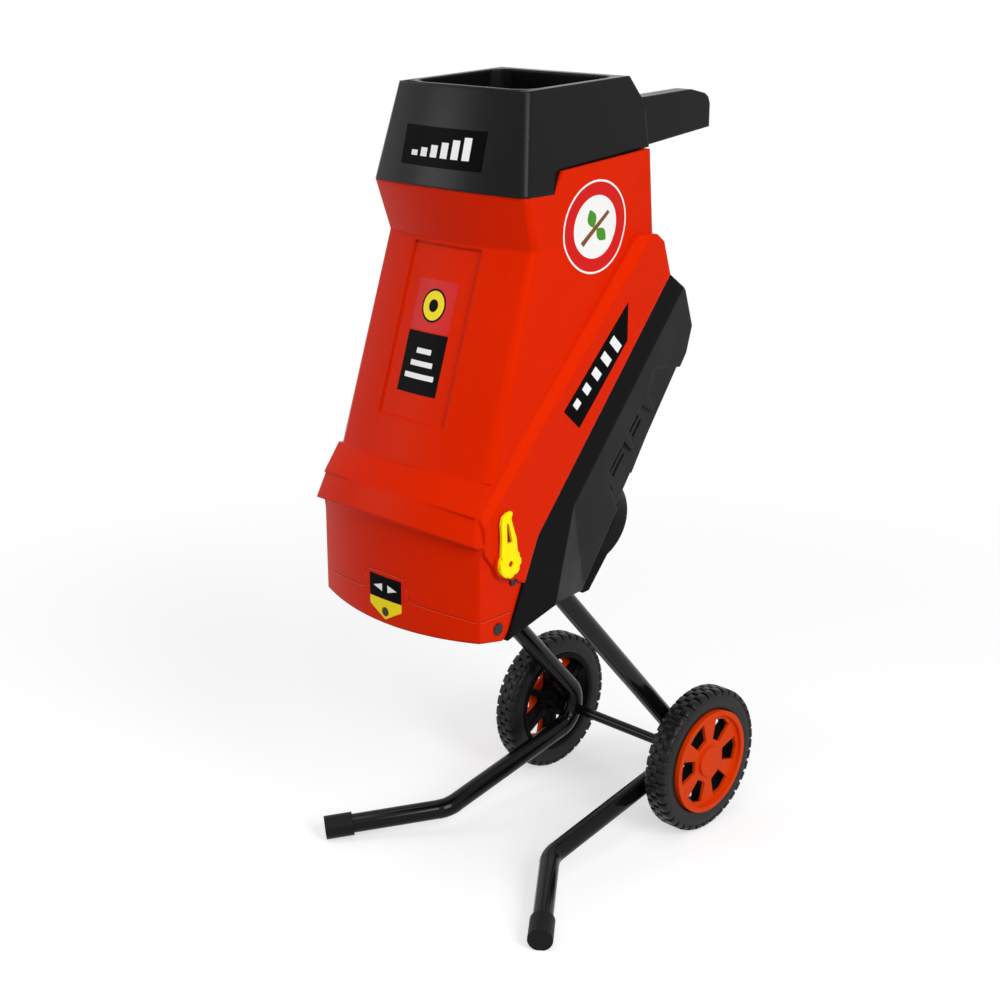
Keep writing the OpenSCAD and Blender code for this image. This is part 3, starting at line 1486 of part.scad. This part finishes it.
module window() {
  translate([0, 0, cap_back_x - eps]) linear_extrude(far) polygon([
    polar(window_r[0], -window_turn), polar(window_r[1], -window_turn), polar(window_r[1] * 1.04, 0),
    polar(window_r[1], window_turn), polar(window_r[0], window_turn)
  ]);
}
module left_tyre() {
  tyre(-1);
}
module right_tyre() {
  tyre(1);
}
module left_rim() {
  rim(-1);
}
module right_rim() {
  rim(1);
}
module left_hub_cap() {
  hub_cap(-1);
}
module right_hub_cap() {
  hub_cap(1);
}

hopper_shell();
hopper_collar();
counter_knife();
counter_screws();
lock_insert();
safety_tongue();
discharge_liner();
case_screws();
side_lever();
motor_housing();
chamber_floor();
floor_screws();
hinge_screws();
gear_case();
gear_cover();
spindle_bearings();
motor_bearings();
stator_core();
field_coils();
end_shield();
motor_bolts();
brush_holders();
carbon_brushes();
motor_cover();
cover_screws();
switch_box();
switch_unit();
power_inlet();
inlet_pins();
on_button();
off_button();
reset_button();
lock_knob();
lock_bolt();
safety_switch();
spindle();
knife_disc();
knives();
knife_screws();
disc_washer();
disc_nut();
driven_gear();
armature_shaft();
armature_core();
armature_windings();
commutator();
cooling_fan();
left_leg();
right_leg();
foot_caps();
leg_bolts();
axle();
axle_sleeves();
axle_clips();
left_tyre();
left_rim();
left_hub_cap();
right_tyre();
right_rim();
right_hub_cap();
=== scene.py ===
import json
import math

import bmesh
import bpy
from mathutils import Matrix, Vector
from mathutils.bvhtree import BVHTree


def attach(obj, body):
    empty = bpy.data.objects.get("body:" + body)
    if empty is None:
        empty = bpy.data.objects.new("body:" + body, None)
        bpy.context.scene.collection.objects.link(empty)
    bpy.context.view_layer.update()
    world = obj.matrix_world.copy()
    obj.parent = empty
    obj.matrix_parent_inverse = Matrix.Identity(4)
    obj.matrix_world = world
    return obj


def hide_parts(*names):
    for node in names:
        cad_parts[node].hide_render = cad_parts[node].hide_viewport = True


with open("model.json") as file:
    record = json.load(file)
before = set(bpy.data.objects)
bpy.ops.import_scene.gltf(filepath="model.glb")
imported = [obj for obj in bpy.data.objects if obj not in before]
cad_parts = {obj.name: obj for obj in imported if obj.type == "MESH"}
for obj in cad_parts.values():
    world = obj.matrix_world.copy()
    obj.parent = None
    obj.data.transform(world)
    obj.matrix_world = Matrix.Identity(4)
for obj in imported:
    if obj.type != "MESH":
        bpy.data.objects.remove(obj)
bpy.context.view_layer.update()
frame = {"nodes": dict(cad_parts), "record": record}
NODES = frame["nodes"]
scene = bpy.context.scene
scene.view_settings.view_transform = "Standard"

# The axle lies this far behind the frame's origin; the frame's lengths are metres
AXLE_Y = 0.14866754
MM = 0.001


def at(x, y, z):
    """A point given in millimetres from the axle's middle (y) and the floor (z)."""
    return Vector((x * MM, y * MM + AXLE_Y, z * MM))


# Materials

# Broad noise spreads the gloss and the handling marks; its middle range is used
BROAD_SCALE, BROAD_DETAIL = 14.0, 4.0
BROAD_LOW, BROAD_HIGH = 0.3, 0.7
FINE_DETAIL = 2.0
GLOSS_MIN = 0.02
COAT_ROUGH = 0.08
MARK_LIFT = 0.004
RELIEF_M = 0.0004
EDGE_SAMPLES = 6
PLAIN = (1.0, 1.0, 1.0)


def nodes_of(name):
    """A new material, its node tree and its surface node."""
    mat = bpy.data.materials.new(name)
    mat.use_nodes = True
    tree = mat.node_tree
    return mat, tree, tree.nodes["Principled BSDF"]


def finish_mat(name, colour, rough, spread=0.05, grain=900.0, bump=0.02, metal=0.0, coat=0.0, edge=0.0,
               smear=0.0, specular=0.5, tint=PLAIN):
    """A plain surface with fine grain, uneven gloss and, where asked, soft edges and faint handling marks."""
    mat, tree, bsdf = nodes_of(name)
    new, link = tree.nodes.new, tree.links.new
    coord = new("ShaderNodeTexCoord")
    fine = new("ShaderNodeTexNoise")
    fine.inputs["Scale"].default_value = grain
    fine.inputs["Detail"].default_value = FINE_DETAIL
    link(coord.outputs["Object"], fine.inputs["Vector"])
    broad = new("ShaderNodeTexNoise")
    broad.inputs["Scale"].default_value = BROAD_SCALE
    broad.inputs["Detail"].default_value = BROAD_DETAIL
    link(coord.outputs["Object"], broad.inputs["Vector"])
    ramp = new("ShaderNodeMapRange")
    ramp.inputs["From Min"].default_value = BROAD_LOW
    ramp.inputs["From Max"].default_value = BROAD_HIGH
    ramp.inputs["To Min"].default_value = max(GLOSS_MIN, rough - spread)
    ramp.inputs["To Max"].default_value = min(1.0, rough + spread)
    link(broad.outputs["Fac"], ramp.inputs["Value"])
    link(ramp.outputs["Result"], bsdf.inputs["Roughness"])
    shade = new("ShaderNodeMixRGB")
    shade.blend_type = "MIX"
    shade.inputs["Color1"].default_value = (*colour, 1.0)
    worn = [min(1.0, c * (1.0 + smear) + MARK_LIFT * smear) for c in colour]
    shade.inputs["Color2"].default_value = (*worn, 1.0)
    link(broad.outputs["Fac"], shade.inputs["Fac"])
    link(shade.outputs["Color"], bsdf.inputs["Base Color"])
    bsdf.inputs["Metallic"].default_value = metal
    bsdf.inputs["Coat Weight"].default_value = coat
    bsdf.inputs["Coat Roughness"].default_value = COAT_ROUGH
    bsdf.inputs["Specular IOR Level"].default_value = specular
    bsdf.inputs["Specular Tint"].default_value = (*tint, 1.0)
    relief = new("ShaderNodeBump")
    relief.inputs["Strength"].default_value = bump
    relief.inputs["Distance"].default_value = RELIEF_M
    link(fine.outputs["Fac"], relief.inputs["Height"])
    if edge > 0:
        soft = new("ShaderNodeBevel")
        soft.samples = EDGE_SAMPLES
        soft.inputs["Radius"].default_value = edge
        link(soft.outputs["Normal"], relief.inputs["Normal"])
    link(relief.outputs["Normal"], bsdf.inputs["Normal"])
    return mat


FINISHES = {
    "red_shell": dict(colour=(0.66, 0.017, 0.0003), rough=0.34, grain=1400.0, bump=0.08, edge=0.0045,
                      smear=0.05, specular=0.07, tint=(1.0, 0.22, 0.03)),
    "black_plastic": dict(colour=(0.0042, 0.0042, 0.0044), rough=0.38, spread=0.06, grain=1500.0, bump=0.14,
                          edge=0.0035, smear=0.2, specular=0.03),
    "collar_plastic": dict(colour=(0.0030, 0.0030, 0.0032), rough=0.27, spread=0.04, grain=1500.0, bump=0.08,
                           edge=0.0035, smear=0.2, specular=0.13),
    "black_gloss": dict(colour=(0.0036, 0.0036, 0.0038), rough=0.26, grain=1200.0, bump=0.05, edge=0.0012,
                        smear=0.2, specular=0.12),
    "hub_plastic": dict(colour=(0.70, 0.046, 0.0006), rough=0.34, grain=1200.0, bump=0.05, edge=0.001,
                        smear=0.05, specular=0.08, tint=(1.0, 0.3, 0.05)),
    "yellow_plastic": dict(colour=(0.95, 0.80, 0.002), rough=0.34, grain=1200.0, bump=0.05, edge=0.001,
                           smear=0.05, specular=0.2, tint=(1.0, 0.85, 0.1)),
    "green_plastic": dict(colour=(0.01, 0.25, 0.04), rough=0.3, grain=1200.0, bump=0.05, edge=0.0006),
    "red_button": dict(colour=(0.5, 0.012, 0.008), rough=0.3, grain=1200.0, bump=0.05, edge=0.0006),
    "white_plastic": dict(colour=(0.72, 0.72, 0.70), rough=0.45, grain=1200.0, bump=0.05),
    "brown_resin": dict(colour=(0.16, 0.06, 0.02), rough=0.5, spread=0.06, grain=1000.0, bump=0.08),
    "copper_wire": dict(colour=(0.5, 0.16, 0.06), rough=0.35, spread=0.08, grain=600.0, bump=0.3, metal=0.8),
    "rubber": dict(colour=(0.004, 0.004, 0.004), rough=0.45, spread=0.08, bump=0.2, edge=0.002, smear=0.3,
                   specular=0.12),
    "tyre_rubber": dict(colour=(0.004, 0.004, 0.004), rough=0.40, spread=0.08, bump=0.2, edge=0.0006,
                        smear=0.4, specular=0.2),
    "tube_paint": dict(colour=(0.003, 0.003, 0.0035), rough=0.13, spread=0.04, grain=500.0, bump=0.03,
                       coat=0.06, smear=0.2, specular=0.12),
    "steel": dict(colour=(0.55, 0.55, 0.56), rough=0.32, spread=0.08, grain=1800.0, bump=0.08, metal=1.0,
                  edge=0.0004),
    "dark_steel": dict(colour=(0.02, 0.02, 0.022), rough=0.35, spread=0.08, grain=1500.0, bump=0.08,
                       metal=0.6, edge=0.0004),
    "cast_alloy": dict(colour=(0.50, 0.51, 0.53), rough=0.45, spread=0.08, grain=500.0, bump=0.25, metal=1.0),
    "lamination": dict(colour=(0.12, 0.12, 0.13), rough=0.45, spread=0.08, grain=1800.0, bump=0.2, metal=0.8),
    "brass": dict(colour=(0.62, 0.42, 0.12), rough=0.3, spread=0.06, grain=1500.0, bump=0.06, metal=1.0),
    "carbon": dict(colour=(0.03, 0.03, 0.03), rough=0.6, spread=0.08, grain=1200.0, bump=0.1),
}
MATS = {name: finish_mat(name, **look) for name, look in FINISHES.items()}
# Pieces whose finish differs from that of their slot
OWN_FINISH = {
    "hopper_collar": "collar_plastic", "left_hub_cap": "hub_plastic", "right_hub_cap": "hub_plastic",
}
for row in frame["record"]["subparts"]:
    obj = NODES[row["node"]]
    obj.data.materials.clear()
    obj.data.materials.append(MATS[OWN_FINISH.get(row["node"], row["material_slot"])])

# Made pieces


def add_mesh(name, verts, faces, mat, body, smooth):
    """A new piece on a body; edges sharper than smooth, in degrees, stay sharp."""
    mesh = bpy.data.meshes.new(name)
    mesh.from_pydata([tuple(v) for v in verts], [], faces)
    mesh.materials.append(mat)
    mesh.validate()
    bm = bmesh.new()
    bm.from_mesh(mesh)
    bmesh.ops.recalc_face_normals(bm, faces=bm.faces)
    bm.to_mesh(mesh)
    bm.free()
    mesh.shade_smooth()
    mesh.set_sharp_from_angle(angle=math.radians(smooth))
    obj = bpy.data.objects.new(name, mesh)
    scene.collection.objects.link(obj)
    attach(obj, body)
    return obj


# Tyres: a carcass turned from a profile, with three rows of shallow blocks
TYRE_W, TYRE_X, TYRE_Z = 29.0, 102.4, 85.0
TURNS = 152
BLOCKS = 38
BLOCK_FILL = 0.74
# A block's flat top as a share of its length, the drop of its ends in millimetres, its root's share
BLOCK_TOP = 0.84
BLOCK_DROP = 0.45
ROOT_SPREAD = 1.05


def mirrored(path):
    """A path of radius and distance from the tyre's inner face, as seen from the outer face."""
    return [(r, TYRE_W - w) for r, w in path]


HALF = [
    (62.0, 3.0), (62.6, 1.4), (64.5, 0.7), (67.0, 0.9), (70.0, 0.5), (76.0, 0.8), (79.4, 1.5), (81.4, 3.2),
    (82.3, 6.0), (82.6, 10.0),
]
CARCASS = HALF + mirrored(HALF)[::-1]
# Each block's outer path, and the path below it inside the carcass
SHOULDER = [(84.9, 10.4), (84.9, 5.2), (84.0, 2.6), (82.4, 1.0), (80.2, 0.35), (78.6, 0.55)]
SHOULDER_ROOT = [(81.6, 10.4), (81.6, 6.4), (80.4, 4.4), (79.4, 3.2), (78.4, 2.6), (77.8, 1.8)]
CROWN = [(84.9, 18.0), (84.95, 14.5), (84.9, 11.0)]
CROWN_ROOT = [(81.6, 18.0), (81.6, 14.5), (81.6, 11.0)]
BLOCK_ROWS = [
    (SHOULDER, SHOULDER_ROOT, 0.0),
    (CROWN, CROWN_ROOT, 0.5),
    (mirrored(SHOULDER), mirrored(SHOULDER_ROOT), 0.0),
]


def tyre(name, side, body):
    """A whole tyre on the left (-1) or right (1) wheel."""
    verts, faces = [], []

    def put(r, a, w):
        """Radius, turn in degrees and distance outwards from the tyre's inner face."""
        t = math.radians(a)
        verts.append(at(side * (TYRE_X + w), r * math.sin(t), TYRE_Z + r * math.cos(t)))
        return len(verts) - 1

    def bridge(a, b):
        """Faces between two closed loops of points."""
        for i in range(len(a)):
            j = (i + 1) % len(a)
            faces.append((a[i], a[j], b[j], b[i]))

    rings = [[put(r, 360.0 * k / TURNS, w) for r, w in CARCASS] for k in range(TURNS)]
    for k in range(TURNS):
        bridge(rings[k - 1], rings[k])
    pitch = 360.0 / BLOCKS
    half = pitch * BLOCK_FILL / 2
    for path, root, stagger in BLOCK_ROWS:
        for k in range(BLOCKS):
            mid = pitch * (k + stagger)
            loops = []
            flat = half * BLOCK_TOP
            for turn, drop in ((-half, BLOCK_DROP), (-flat, 0.0), (flat, 0.0), (half, BLOCK_DROP)):
                top = [put(r - drop, mid + turn, w) for r, w in path]
                loops.append(top + [put(r, mid + turn * ROOT_SPREAD, w) for r, w in reversed(root)])
            for a, b in zip(loops, loops[1:]):
                bridge(a, b)
            faces.append(tuple(loops[0]))
            faces.append(tuple(reversed(loops[-1])))
    obj = add_mesh(name, verts, faces, MATS["tyre_rubber"], body, 35.0)
    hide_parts(body.split("_")[0] + "_tyre")


tyre("left_tyre_lugs", -1, "left_wheel")
tyre("right_tyre_lugs", 1, "right_wheel")

# Stickers lie on the hopper: each point of a flat grid is cast onto it


def tree_of(node):
    """A solid's faces, for casting points onto them."""
    mesh = NODES[node].data
    points = [v.co.copy() for v in mesh.vertices]
    return BVHTree.FromPolygons(points, [tuple(q.vertices) for q in mesh.polygons])


SHELL = tree_of("hopper_shell")
COLLAR = tree_of("hopper_collar")
# A plate's underside lies this far under the surface, and casts start this far out, in millimetres
SUNK = -0.05
FRONT_FROM, SIDE_FROM = 900.0, 600.0


def lay(tree, face, a, b, lift):
    """A point on the front (x, z) or on the lever's or left side (y, z), lifted off it by millimetres."""
    if face == "front":
        start, way = at(a, -FRONT_FROM, b), Vector((0, 1, 0))
    else:
        side = 1 if face == "side" else -1
        start, way = at(side * SIDE_FROM, a, b), Vector((-side, 0, 0))
    hit = tree.ray_cast(start, way)[0]
    if hit is None:
        raise SystemExit("no hit at %s %.1f %.1f" % (face, a, b))
    return hit - way * lift * MM


def plate(name, points, faces, mat, face="front", tree=SHELL, lift=0.25, smooth=40.0):
    """A thin closed plate on the surface, from flat points in millimetres and the faces between them."""
    count = len(points)
    verts = [lay(tree, face, a, b, h) for h in (lift, SUNK) for a, b in points]
    edges = dict.fromkeys((f[i - 1], f[i]) for f in faces for i in range(len(f)))
    walls = [(a, b, b + count, a + count) for a, b in edges if (b, a) not in edges]
    below = [tuple(k + count for k in reversed(f)) for f in faces]
    add_mesh(name, verts, faces + below + walls, mat, "hopper", smooth)


def sticker(name, outline, mat, face="front", tree=SHELL, lift=0.25, step=4.0):
    """A plate with the given outline, cut into a grid so that it follows the surface."""
    bm = bmesh.new()
    ring = [bm.verts.new((a, b, 0)) for a, b in outline]
    bm.faces.new(ring)
    los = [min(q[i] for q in outline) for i in (0, 1)]
    his = [max(q[i] for q in outline) for i in (0, 1)]
    for i in (0, 1):
        count = int((his[i] - los[i]) / step)
        for k in range(1, count + 1):
            place = [0.0, 0.0, 0.0]
            place[i] = los[i] + (his[i] - los[i]) * k / (count + 1)
            norm = [0.0, 0.0, 0.0]
            norm[i] = 1.0
            geom = bm.verts[:] + bm.edges[:] + bm.faces[:]
            bmesh.ops.bisect_plane(bm, geom=geom, plane_co=place, plane_no=norm)
    bm.verts.index_update()
    points = [(v.co.x, v.co.y) for v in bm.verts]
    faces = [tuple(v.index for v in f.verts) for f in bm.faces]
    bm.free()
    plate(name, points, faces, mat, face, tree, lift)


def disc(a, b, r, count=48):
    """A round outline."""
    turns = [2 * math.pi * k / count for k in range(count)]
    return [(a + r * math.cos(t), b + r * math.sin(t)) for t in turns]


def rect(a0, a1, b0, b1):
    """A rectangular outline between two places across and two up."""
    return [(a0, b0), (a1, b0), (a1, b1), (a0, b1)]


INKS = {
    "black": (0.0022, 0.0022, 0.0024), "white": (0.86, 0.86, 0.85), "red": (0.62, 0.008, 0.006),
    "yellow": (0.90, 0.72, 0.003), "green": (0.06, 0.28, 0.02), "brown": (0.20, 0.07, 0.02),
}
INK = {
    name: finish_mat("sticker_" + name, colour, 0.32, spread=0.04, grain=800.0,
                     specular=0.02 if name == "black" else 0.12)
    for name, colour in INKS.items()
}


def ribbon(name, line, width, mat, face="front"):
    """A thin strip along a line of points on the shell."""
    points, faces = [], []
    for k, q in enumerate(line):
        a = Vector(line[max(0, k - 1)])
        b = Vector(line[min(len(line) - 1, k + 1)])
        t = (b - a).normalized()
        n = Vector((-t.y, t.x)) * width / 2
        points += [(q[0] + n.x, q[1] + n.y), (q[0] - n.x, q[1] - n.y)]
    for k in range(len(line) - 1):
        faces.append((2 * k, 2 * k + 1, 2 * k + 3, 2 * k + 2))
    plate(name, points, faces, mat, face, lift=0.12, smooth=60.0)


def holed(name, outer, centre, r, mat, rings=5):
    """A plate on the front with a round hole: rings of points run from the hole to the outline."""
    points, faces = [], []
    count = len(outer)
    for k in range(rings + 1):
        for q in outer:
            away = Vector((q[0] - centre[0], q[1] - centre[1]))
            w = (away.normalized() * r).lerp(away, k / rings)
            points.append((centre[0] + w.x, centre[1] + w.y))
    for k in range(rings):
        for i in range(count):
            j = (i + 1) % count
            faces.append((k * count + i, k * count + j, (k + 1) * count + j, (k + 1) * count + i))
    plate(name, points, faces, mat)


def along(points, step=2.0):
    """Points of a closed outline at short steps."""
    out = []
    for k, q in enumerate(points):
        e = points[(k + 1) % len(points)]
        count = max(1, int(math.dist(q, e) / step))
        out += [(q[0] + (e[0] - q[0]) * i / count, q[1] + (e[1] - q[1]) * i / count) for i in range(count)]
    return out


# Rim sticker: black, with a row of plain bars
sticker("rim_sticker", rect(-55, 55, 775, 812), INK["black"], tree=COLLAR)
for k in range(6):
    bar = rect(14 * k - 40, 14 * k - 31, 784, 789 + 3.2 * k)
    sticker("rim_bar_%d" % k, bar, INK["white"], tree=COLLAR, lift=0.4)

# Front panel sticker: a yellow dot over a black field with plain stripes
sticker("panel_field", rect(-27, 27, 558, 616), INK["black"])
sticker("panel_top", rect(-27, 27, 617, 666), INK["red"])
sticker("panel_dot_edge", disc(0, 642, 16), INK["black"], lift=0.4)
sticker("panel_dot", disc(0, 642, 14), INK["yellow"], lift=0.52)
sticker("panel_dot_core", disc(0, 642, 6), INK["black"], lift=0.64)
for k in range(3):
    stripe = rect(-20 + 5 * k, 20 - 5 * k, 572 + 12 * k, 577 + 12 * k)
    sticker("panel_stripe_%d" % k, stripe, INK["white"], lift=0.4)

# Apron sticker: a black field, two wedges and a yellow point round the screw
sticker("apron_field", rect(-23, 23, 354, 378), INK["black"])
for side in (-1, 1):
    wedge = [(side * 4, 362), (side * 17, 366), (side * 4, 370)]
    sticker("apron_wedge_%d" % (side + 1), wedge, INK["white"], lift=0.4)
point = [(-23, 353.6), (-23, 345), (0, 332.4), (23, 345), (23, 353.6)]
holed("apron_point", along(point), (0, 340.7), 5.0, INK["yellow"])

# Side band sticker: black, slanting with the band, with plain bars across it
BAND = [(-147.0, 639.0), (-241.0, 544.0), (-218.0, 523.0), (-147.0, 600.0)]
sticker("band_sticker", BAND, INK["black"], face="side")
run = (Vector(BAND[0]) - Vector(BAND[1])).normalized()
across = Vector((run.y, -run.x))
BAR_LONG, BAR_PITCH, BAR_INSET = 9, 19, 6
for k in range(5):
    a = Vector(BAND[1]) + run * (12 + BAR_PITCH * k) + across * BAR_INSET
    deep = across * (9 + 2.2 * k)
    bar = [a, a + run * BAR_LONG, a + run * BAR_LONG + deep, a + deep]
    sticker("band_bar_%d" % k, [(v.x, v.y) for v in bar], INK["white"], face="side", lift=0.4)

# Round sticker: white with a red ring, and a twig with two leaves
CY, CZ = -183.4, 716.8
sticker("round_base", disc(CY, CZ, 46, 72), INK["white"], face="side")
sticker("round_ring", disc(CY, CZ, 44, 72), INK["red"], face="side", lift=0.37)
sticker("round_field", disc(CY, CZ, 31, 60), INK["white"], face="side", lift=0.49)
twig = [(CY - 20, CZ - 14), (CY - 16, CZ - 18), (CY + 20, CZ + 12), (CY + 17, CZ + 15)]
sticker("round_twig", twig, INK["brown"], face="side", lift=0.6)


def leaf(a, b, turn, size, plump=0.32, steps=16):
    """A leaf's outline from its stalk, turned by degrees."""
    t = math.radians(turn)
    upper = [(size * k / steps, plump * size * math.sin(math.pi * k / steps)) for k in range(steps + 1)]
    outline = upper + [(x, -y) for x, y in upper[-2:0:-1]]
    c, s = math.cos(t), math.sin(t)
    return [(a + x * c - y * s, b + x * s + y * c) for x, y in outline]


sticker("round_leaf_a", leaf(CY - 2, CZ - 1, 112, 20), INK["green"], face="side", lift=0.7)
sticker("round_leaf_b", leaf(CY + 2, CZ - 2, -40, 19), INK["green"], face="side", lift=0.7)

# Fine seam round the apron, with a tab over the sticker, drawn as a bright strip of painted highlight with a
# dark strip of painted shade just above it
# The seam's bright orange-red strip is a painted highlight on its lit edge; the dark strip is painted shade
SEAM_HIGHLIGHT = finish_mat("seam_painted_highlight", (0.80, 0.055, 0.006), 0.4, grain=900.0, specular=0.2)
SHADE = finish_mat("seam_shade", (0.28, 0.004, 0.001), 0.5, grain=900.0, specular=0.1)
SEAM_Z, SEAM_RISE, SEAM_HALF = 353.0, 6.0, 111.0
SEAM_W, SHADE_UP = 0.8, 0.9
left = [(x, SEAM_Z + SEAM_RISE * (1 - (x / SEAM_HALF) ** 2)) for x in range(-110, -34, 4)]
tab = [(-33, 360), (-30, 372), (-28, 379), (-26, 381), (-18, 381.6), (-9, 382), (0, 382)]
half = left + tab
seam = half + [(-x, z) for x, z in reversed(half[:-1])]
# A painted highlight along the seam, then painted shade just above it
ribbon("apron_seam", seam, SEAM_W, SEAM_HIGHLIGHT)
ribbon("apron_seam_shade", [(x, z + SHADE_UP) for x, z in seam], SEAM_W, SHADE)
line = [(y, SEAM_Z) for y in range(-353, -310, 3)]
for face in ("side", "left"):
    # The same painted highlight and painted shade along the apron's sides
    ribbon("apron_seam_" + face, line, SEAM_W, SEAM_HIGHLIGHT, face)
    ribbon("apron_seam_shade_" + face, [(y, z + SHADE_UP) for y, z in line], SEAM_W, SHADE, face)

# Camera at the photo's view: focal length and picture width in pixels, place in millimetres, direction
FOCAL_PX, PHOTO_PX, SENSOR_MM = 1735.04, 1000.0, 36.0
CAMERA_AT = (1211.0, -1459.6, 990.2)
AZ, EL = math.radians(44.11), math.radians(18.15)
cam_data = bpy.data.cameras.new("photo_camera")
cam_data.sensor_fit = "HORIZONTAL"
cam_data.sensor_width = SENSOR_MM
cam_data.lens = FOCAL_PX * SENSOR_MM / PHOTO_PX
cam_data.clip_start = 0.05
cam_data.clip_end = 40.0
cam = bpy.data.objects.new("photo_camera", cam_data)
scene.collection.objects.link(cam)
scene.camera = cam
look = Vector((-math.sin(AZ) * math.cos(EL), math.cos(AZ) * math.cos(EL), -math.sin(EL)))
cam.location = at(*CAMERA_AT)
cam.rotation_mode = "QUATERNION"
cam.rotation_quaternion = look.to_track_quat("-Z", "Y")

# Studio: a pale floor that fades to white, a white surround, soft lamps
WHITE = (1.0, 1.0, 1.0, 1.0)
FLOOR_GREY = 0.62
FLOOR_ROUGH = 0.7
FLOOR_GLOW = 0.54
FADE_FROM, FADE_TO = 0.45, 1.5
FLOOR_HALF = 30.0
FLOOR_Z = -0.0005
WORLD_LIGHT = 0.32


def seen_directly(tree):
    """1 for rays that show the background: camera, glossy and transmission rays."""
    path = tree.nodes.new("ShaderNodeLightPath")
    total = path.outputs["Is Camera Ray"]
    for name in ("Is Glossy Ray", "Is Transmission Ray"):
        join = tree.nodes.new("ShaderNodeMath")
        join.operation = "MAXIMUM"
        tree.links.new(total, join.inputs[0])
        tree.links.new(path.outputs[name], join.inputs[1])
        total = join.outputs["Value"]
    return total


def emission(tree, strength):
    """White light of a given strength."""
    glow = tree.nodes.new("ShaderNodeEmission")
    glow.inputs["Color"].default_value = WHITE
    glow.inputs["Strength"].default_value = strength
    return glow.outputs["Emission"]


def mixed(tree, fac, a, b):
    """Shader a where fac is 0 and b where it is 1."""
    mix = tree.nodes.new("ShaderNodeMixShader")
    tree.links.new(fac, mix.inputs["Fac"])
    tree.links.new(a, mix.inputs[1])
    tree.links.new(b, mix.inputs[2])
    return mix.outputs["Shader"]


floor_mat, tree, bsdf = nodes_of("studio_floor")
bsdf.inputs["Base Color"].default_value = (FLOOR_GREY, FLOOR_GREY, FLOOR_GREY, 1.0)
bsdf.inputs["Roughness"].default_value = FLOOR_ROUGH
bsdf.inputs["Specular IOR Level"].default_value = 0.0
place = tree.nodes.new("ShaderNodeNewGeometry")
away = tree.nodes.new("ShaderNodeVectorMath")
away.operation = "LENGTH"
tree.links.new(place.outputs["Position"], away.inputs[0])
fade = tree.nodes.new("ShaderNodeMapRange")
fade.interpolation_type = "SMOOTHSTEP"
fade.inputs["From Min"].default_value = FADE_FROM
fade.inputs["From Max"].default_value = FADE_TO
tree.links.new(away.outputs["Value"], fade.inputs["Value"])
shadowed = tree.nodes.new("ShaderNodeAddShader")
tree.links.new(bsdf.outputs["BSDF"], shadowed.inputs[0])
tree.links.new(emission(tree, FLOOR_GLOW), shadowed.inputs[1])
shown = mixed(tree, fade.outputs["Result"], shadowed.outputs["Shader"], emission(tree, 1.0))
floor_out = mixed(tree, seen_directly(tree), bsdf.outputs["BSDF"], shown)
tree.links.new(floor_out, tree.nodes["Material Output"].inputs["Surface"])
mesh = bpy.data.meshes.new("studio_floor")
corners = [(a * FLOOR_HALF, b * FLOOR_HALF, FLOOR_Z) for a, b in ((-1, -1), (1, -1), (1, 1), (-1, 1))]
mesh.from_pydata(corners, [], [(0, 1, 2, 3)])
mesh.materials.append(floor_mat)
floor = bpy.data.objects.new("studio_floor", mesh)
scene.collection.objects.link(floor)

world = bpy.data.worlds.new("studio")
world.use_nodes = True
scene.world = world
tree = world.node_tree
back = tree.nodes["Background"]
back.inputs["Color"].default_value = WHITE
back.inputs["Strength"].default_value = WORLD_LIGHT
white = tree.nodes.new("ShaderNodeBackground")
white.inputs["Color"].default_value = WHITE
white.inputs["Strength"].default_value = 1.0
world_out = mixed(tree, seen_directly(tree), back.outputs["Background"], white.outputs["Background"])
tree.links.new(world_out, tree.nodes["World Output"].inputs["Surface"])


def lamp(name, place, aim, size, size_y, power):
    """A soft lamp in metres and watts, facing its aim."""
    data = bpy.data.lights.new(name, "AREA")
    data.shape = "RECTANGLE"
    data.size = size
    data.size_y = size_y
    data.energy = power
    obj = bpy.data.objects.new(name, data)
    obj.location = place
    obj.rotation_mode = "QUATERNION"
    obj.rotation_quaternion = (Vector(aim) - Vector(place)).to_track_quat("-Z", "Y")
    scene.collection.objects.link(obj)


lamp("key_right", (2.4, -0.6, 1.7), (0, 0, 0.5), 1.0, 1.6, 46)
lamp("fill_left", (-1.7, -1.85, 1.0), (0, 0, 0.6), 0.9, 1.1, 10)
lamp("corner_strip", (1.65, -1.55, 1.75), (0, 0, 0.6), 0.16, 1.0, 7)
lamp("top", (0.1, -0.6, 2.6), (0, 0, 0.4), 1.4, 1.4, 14)
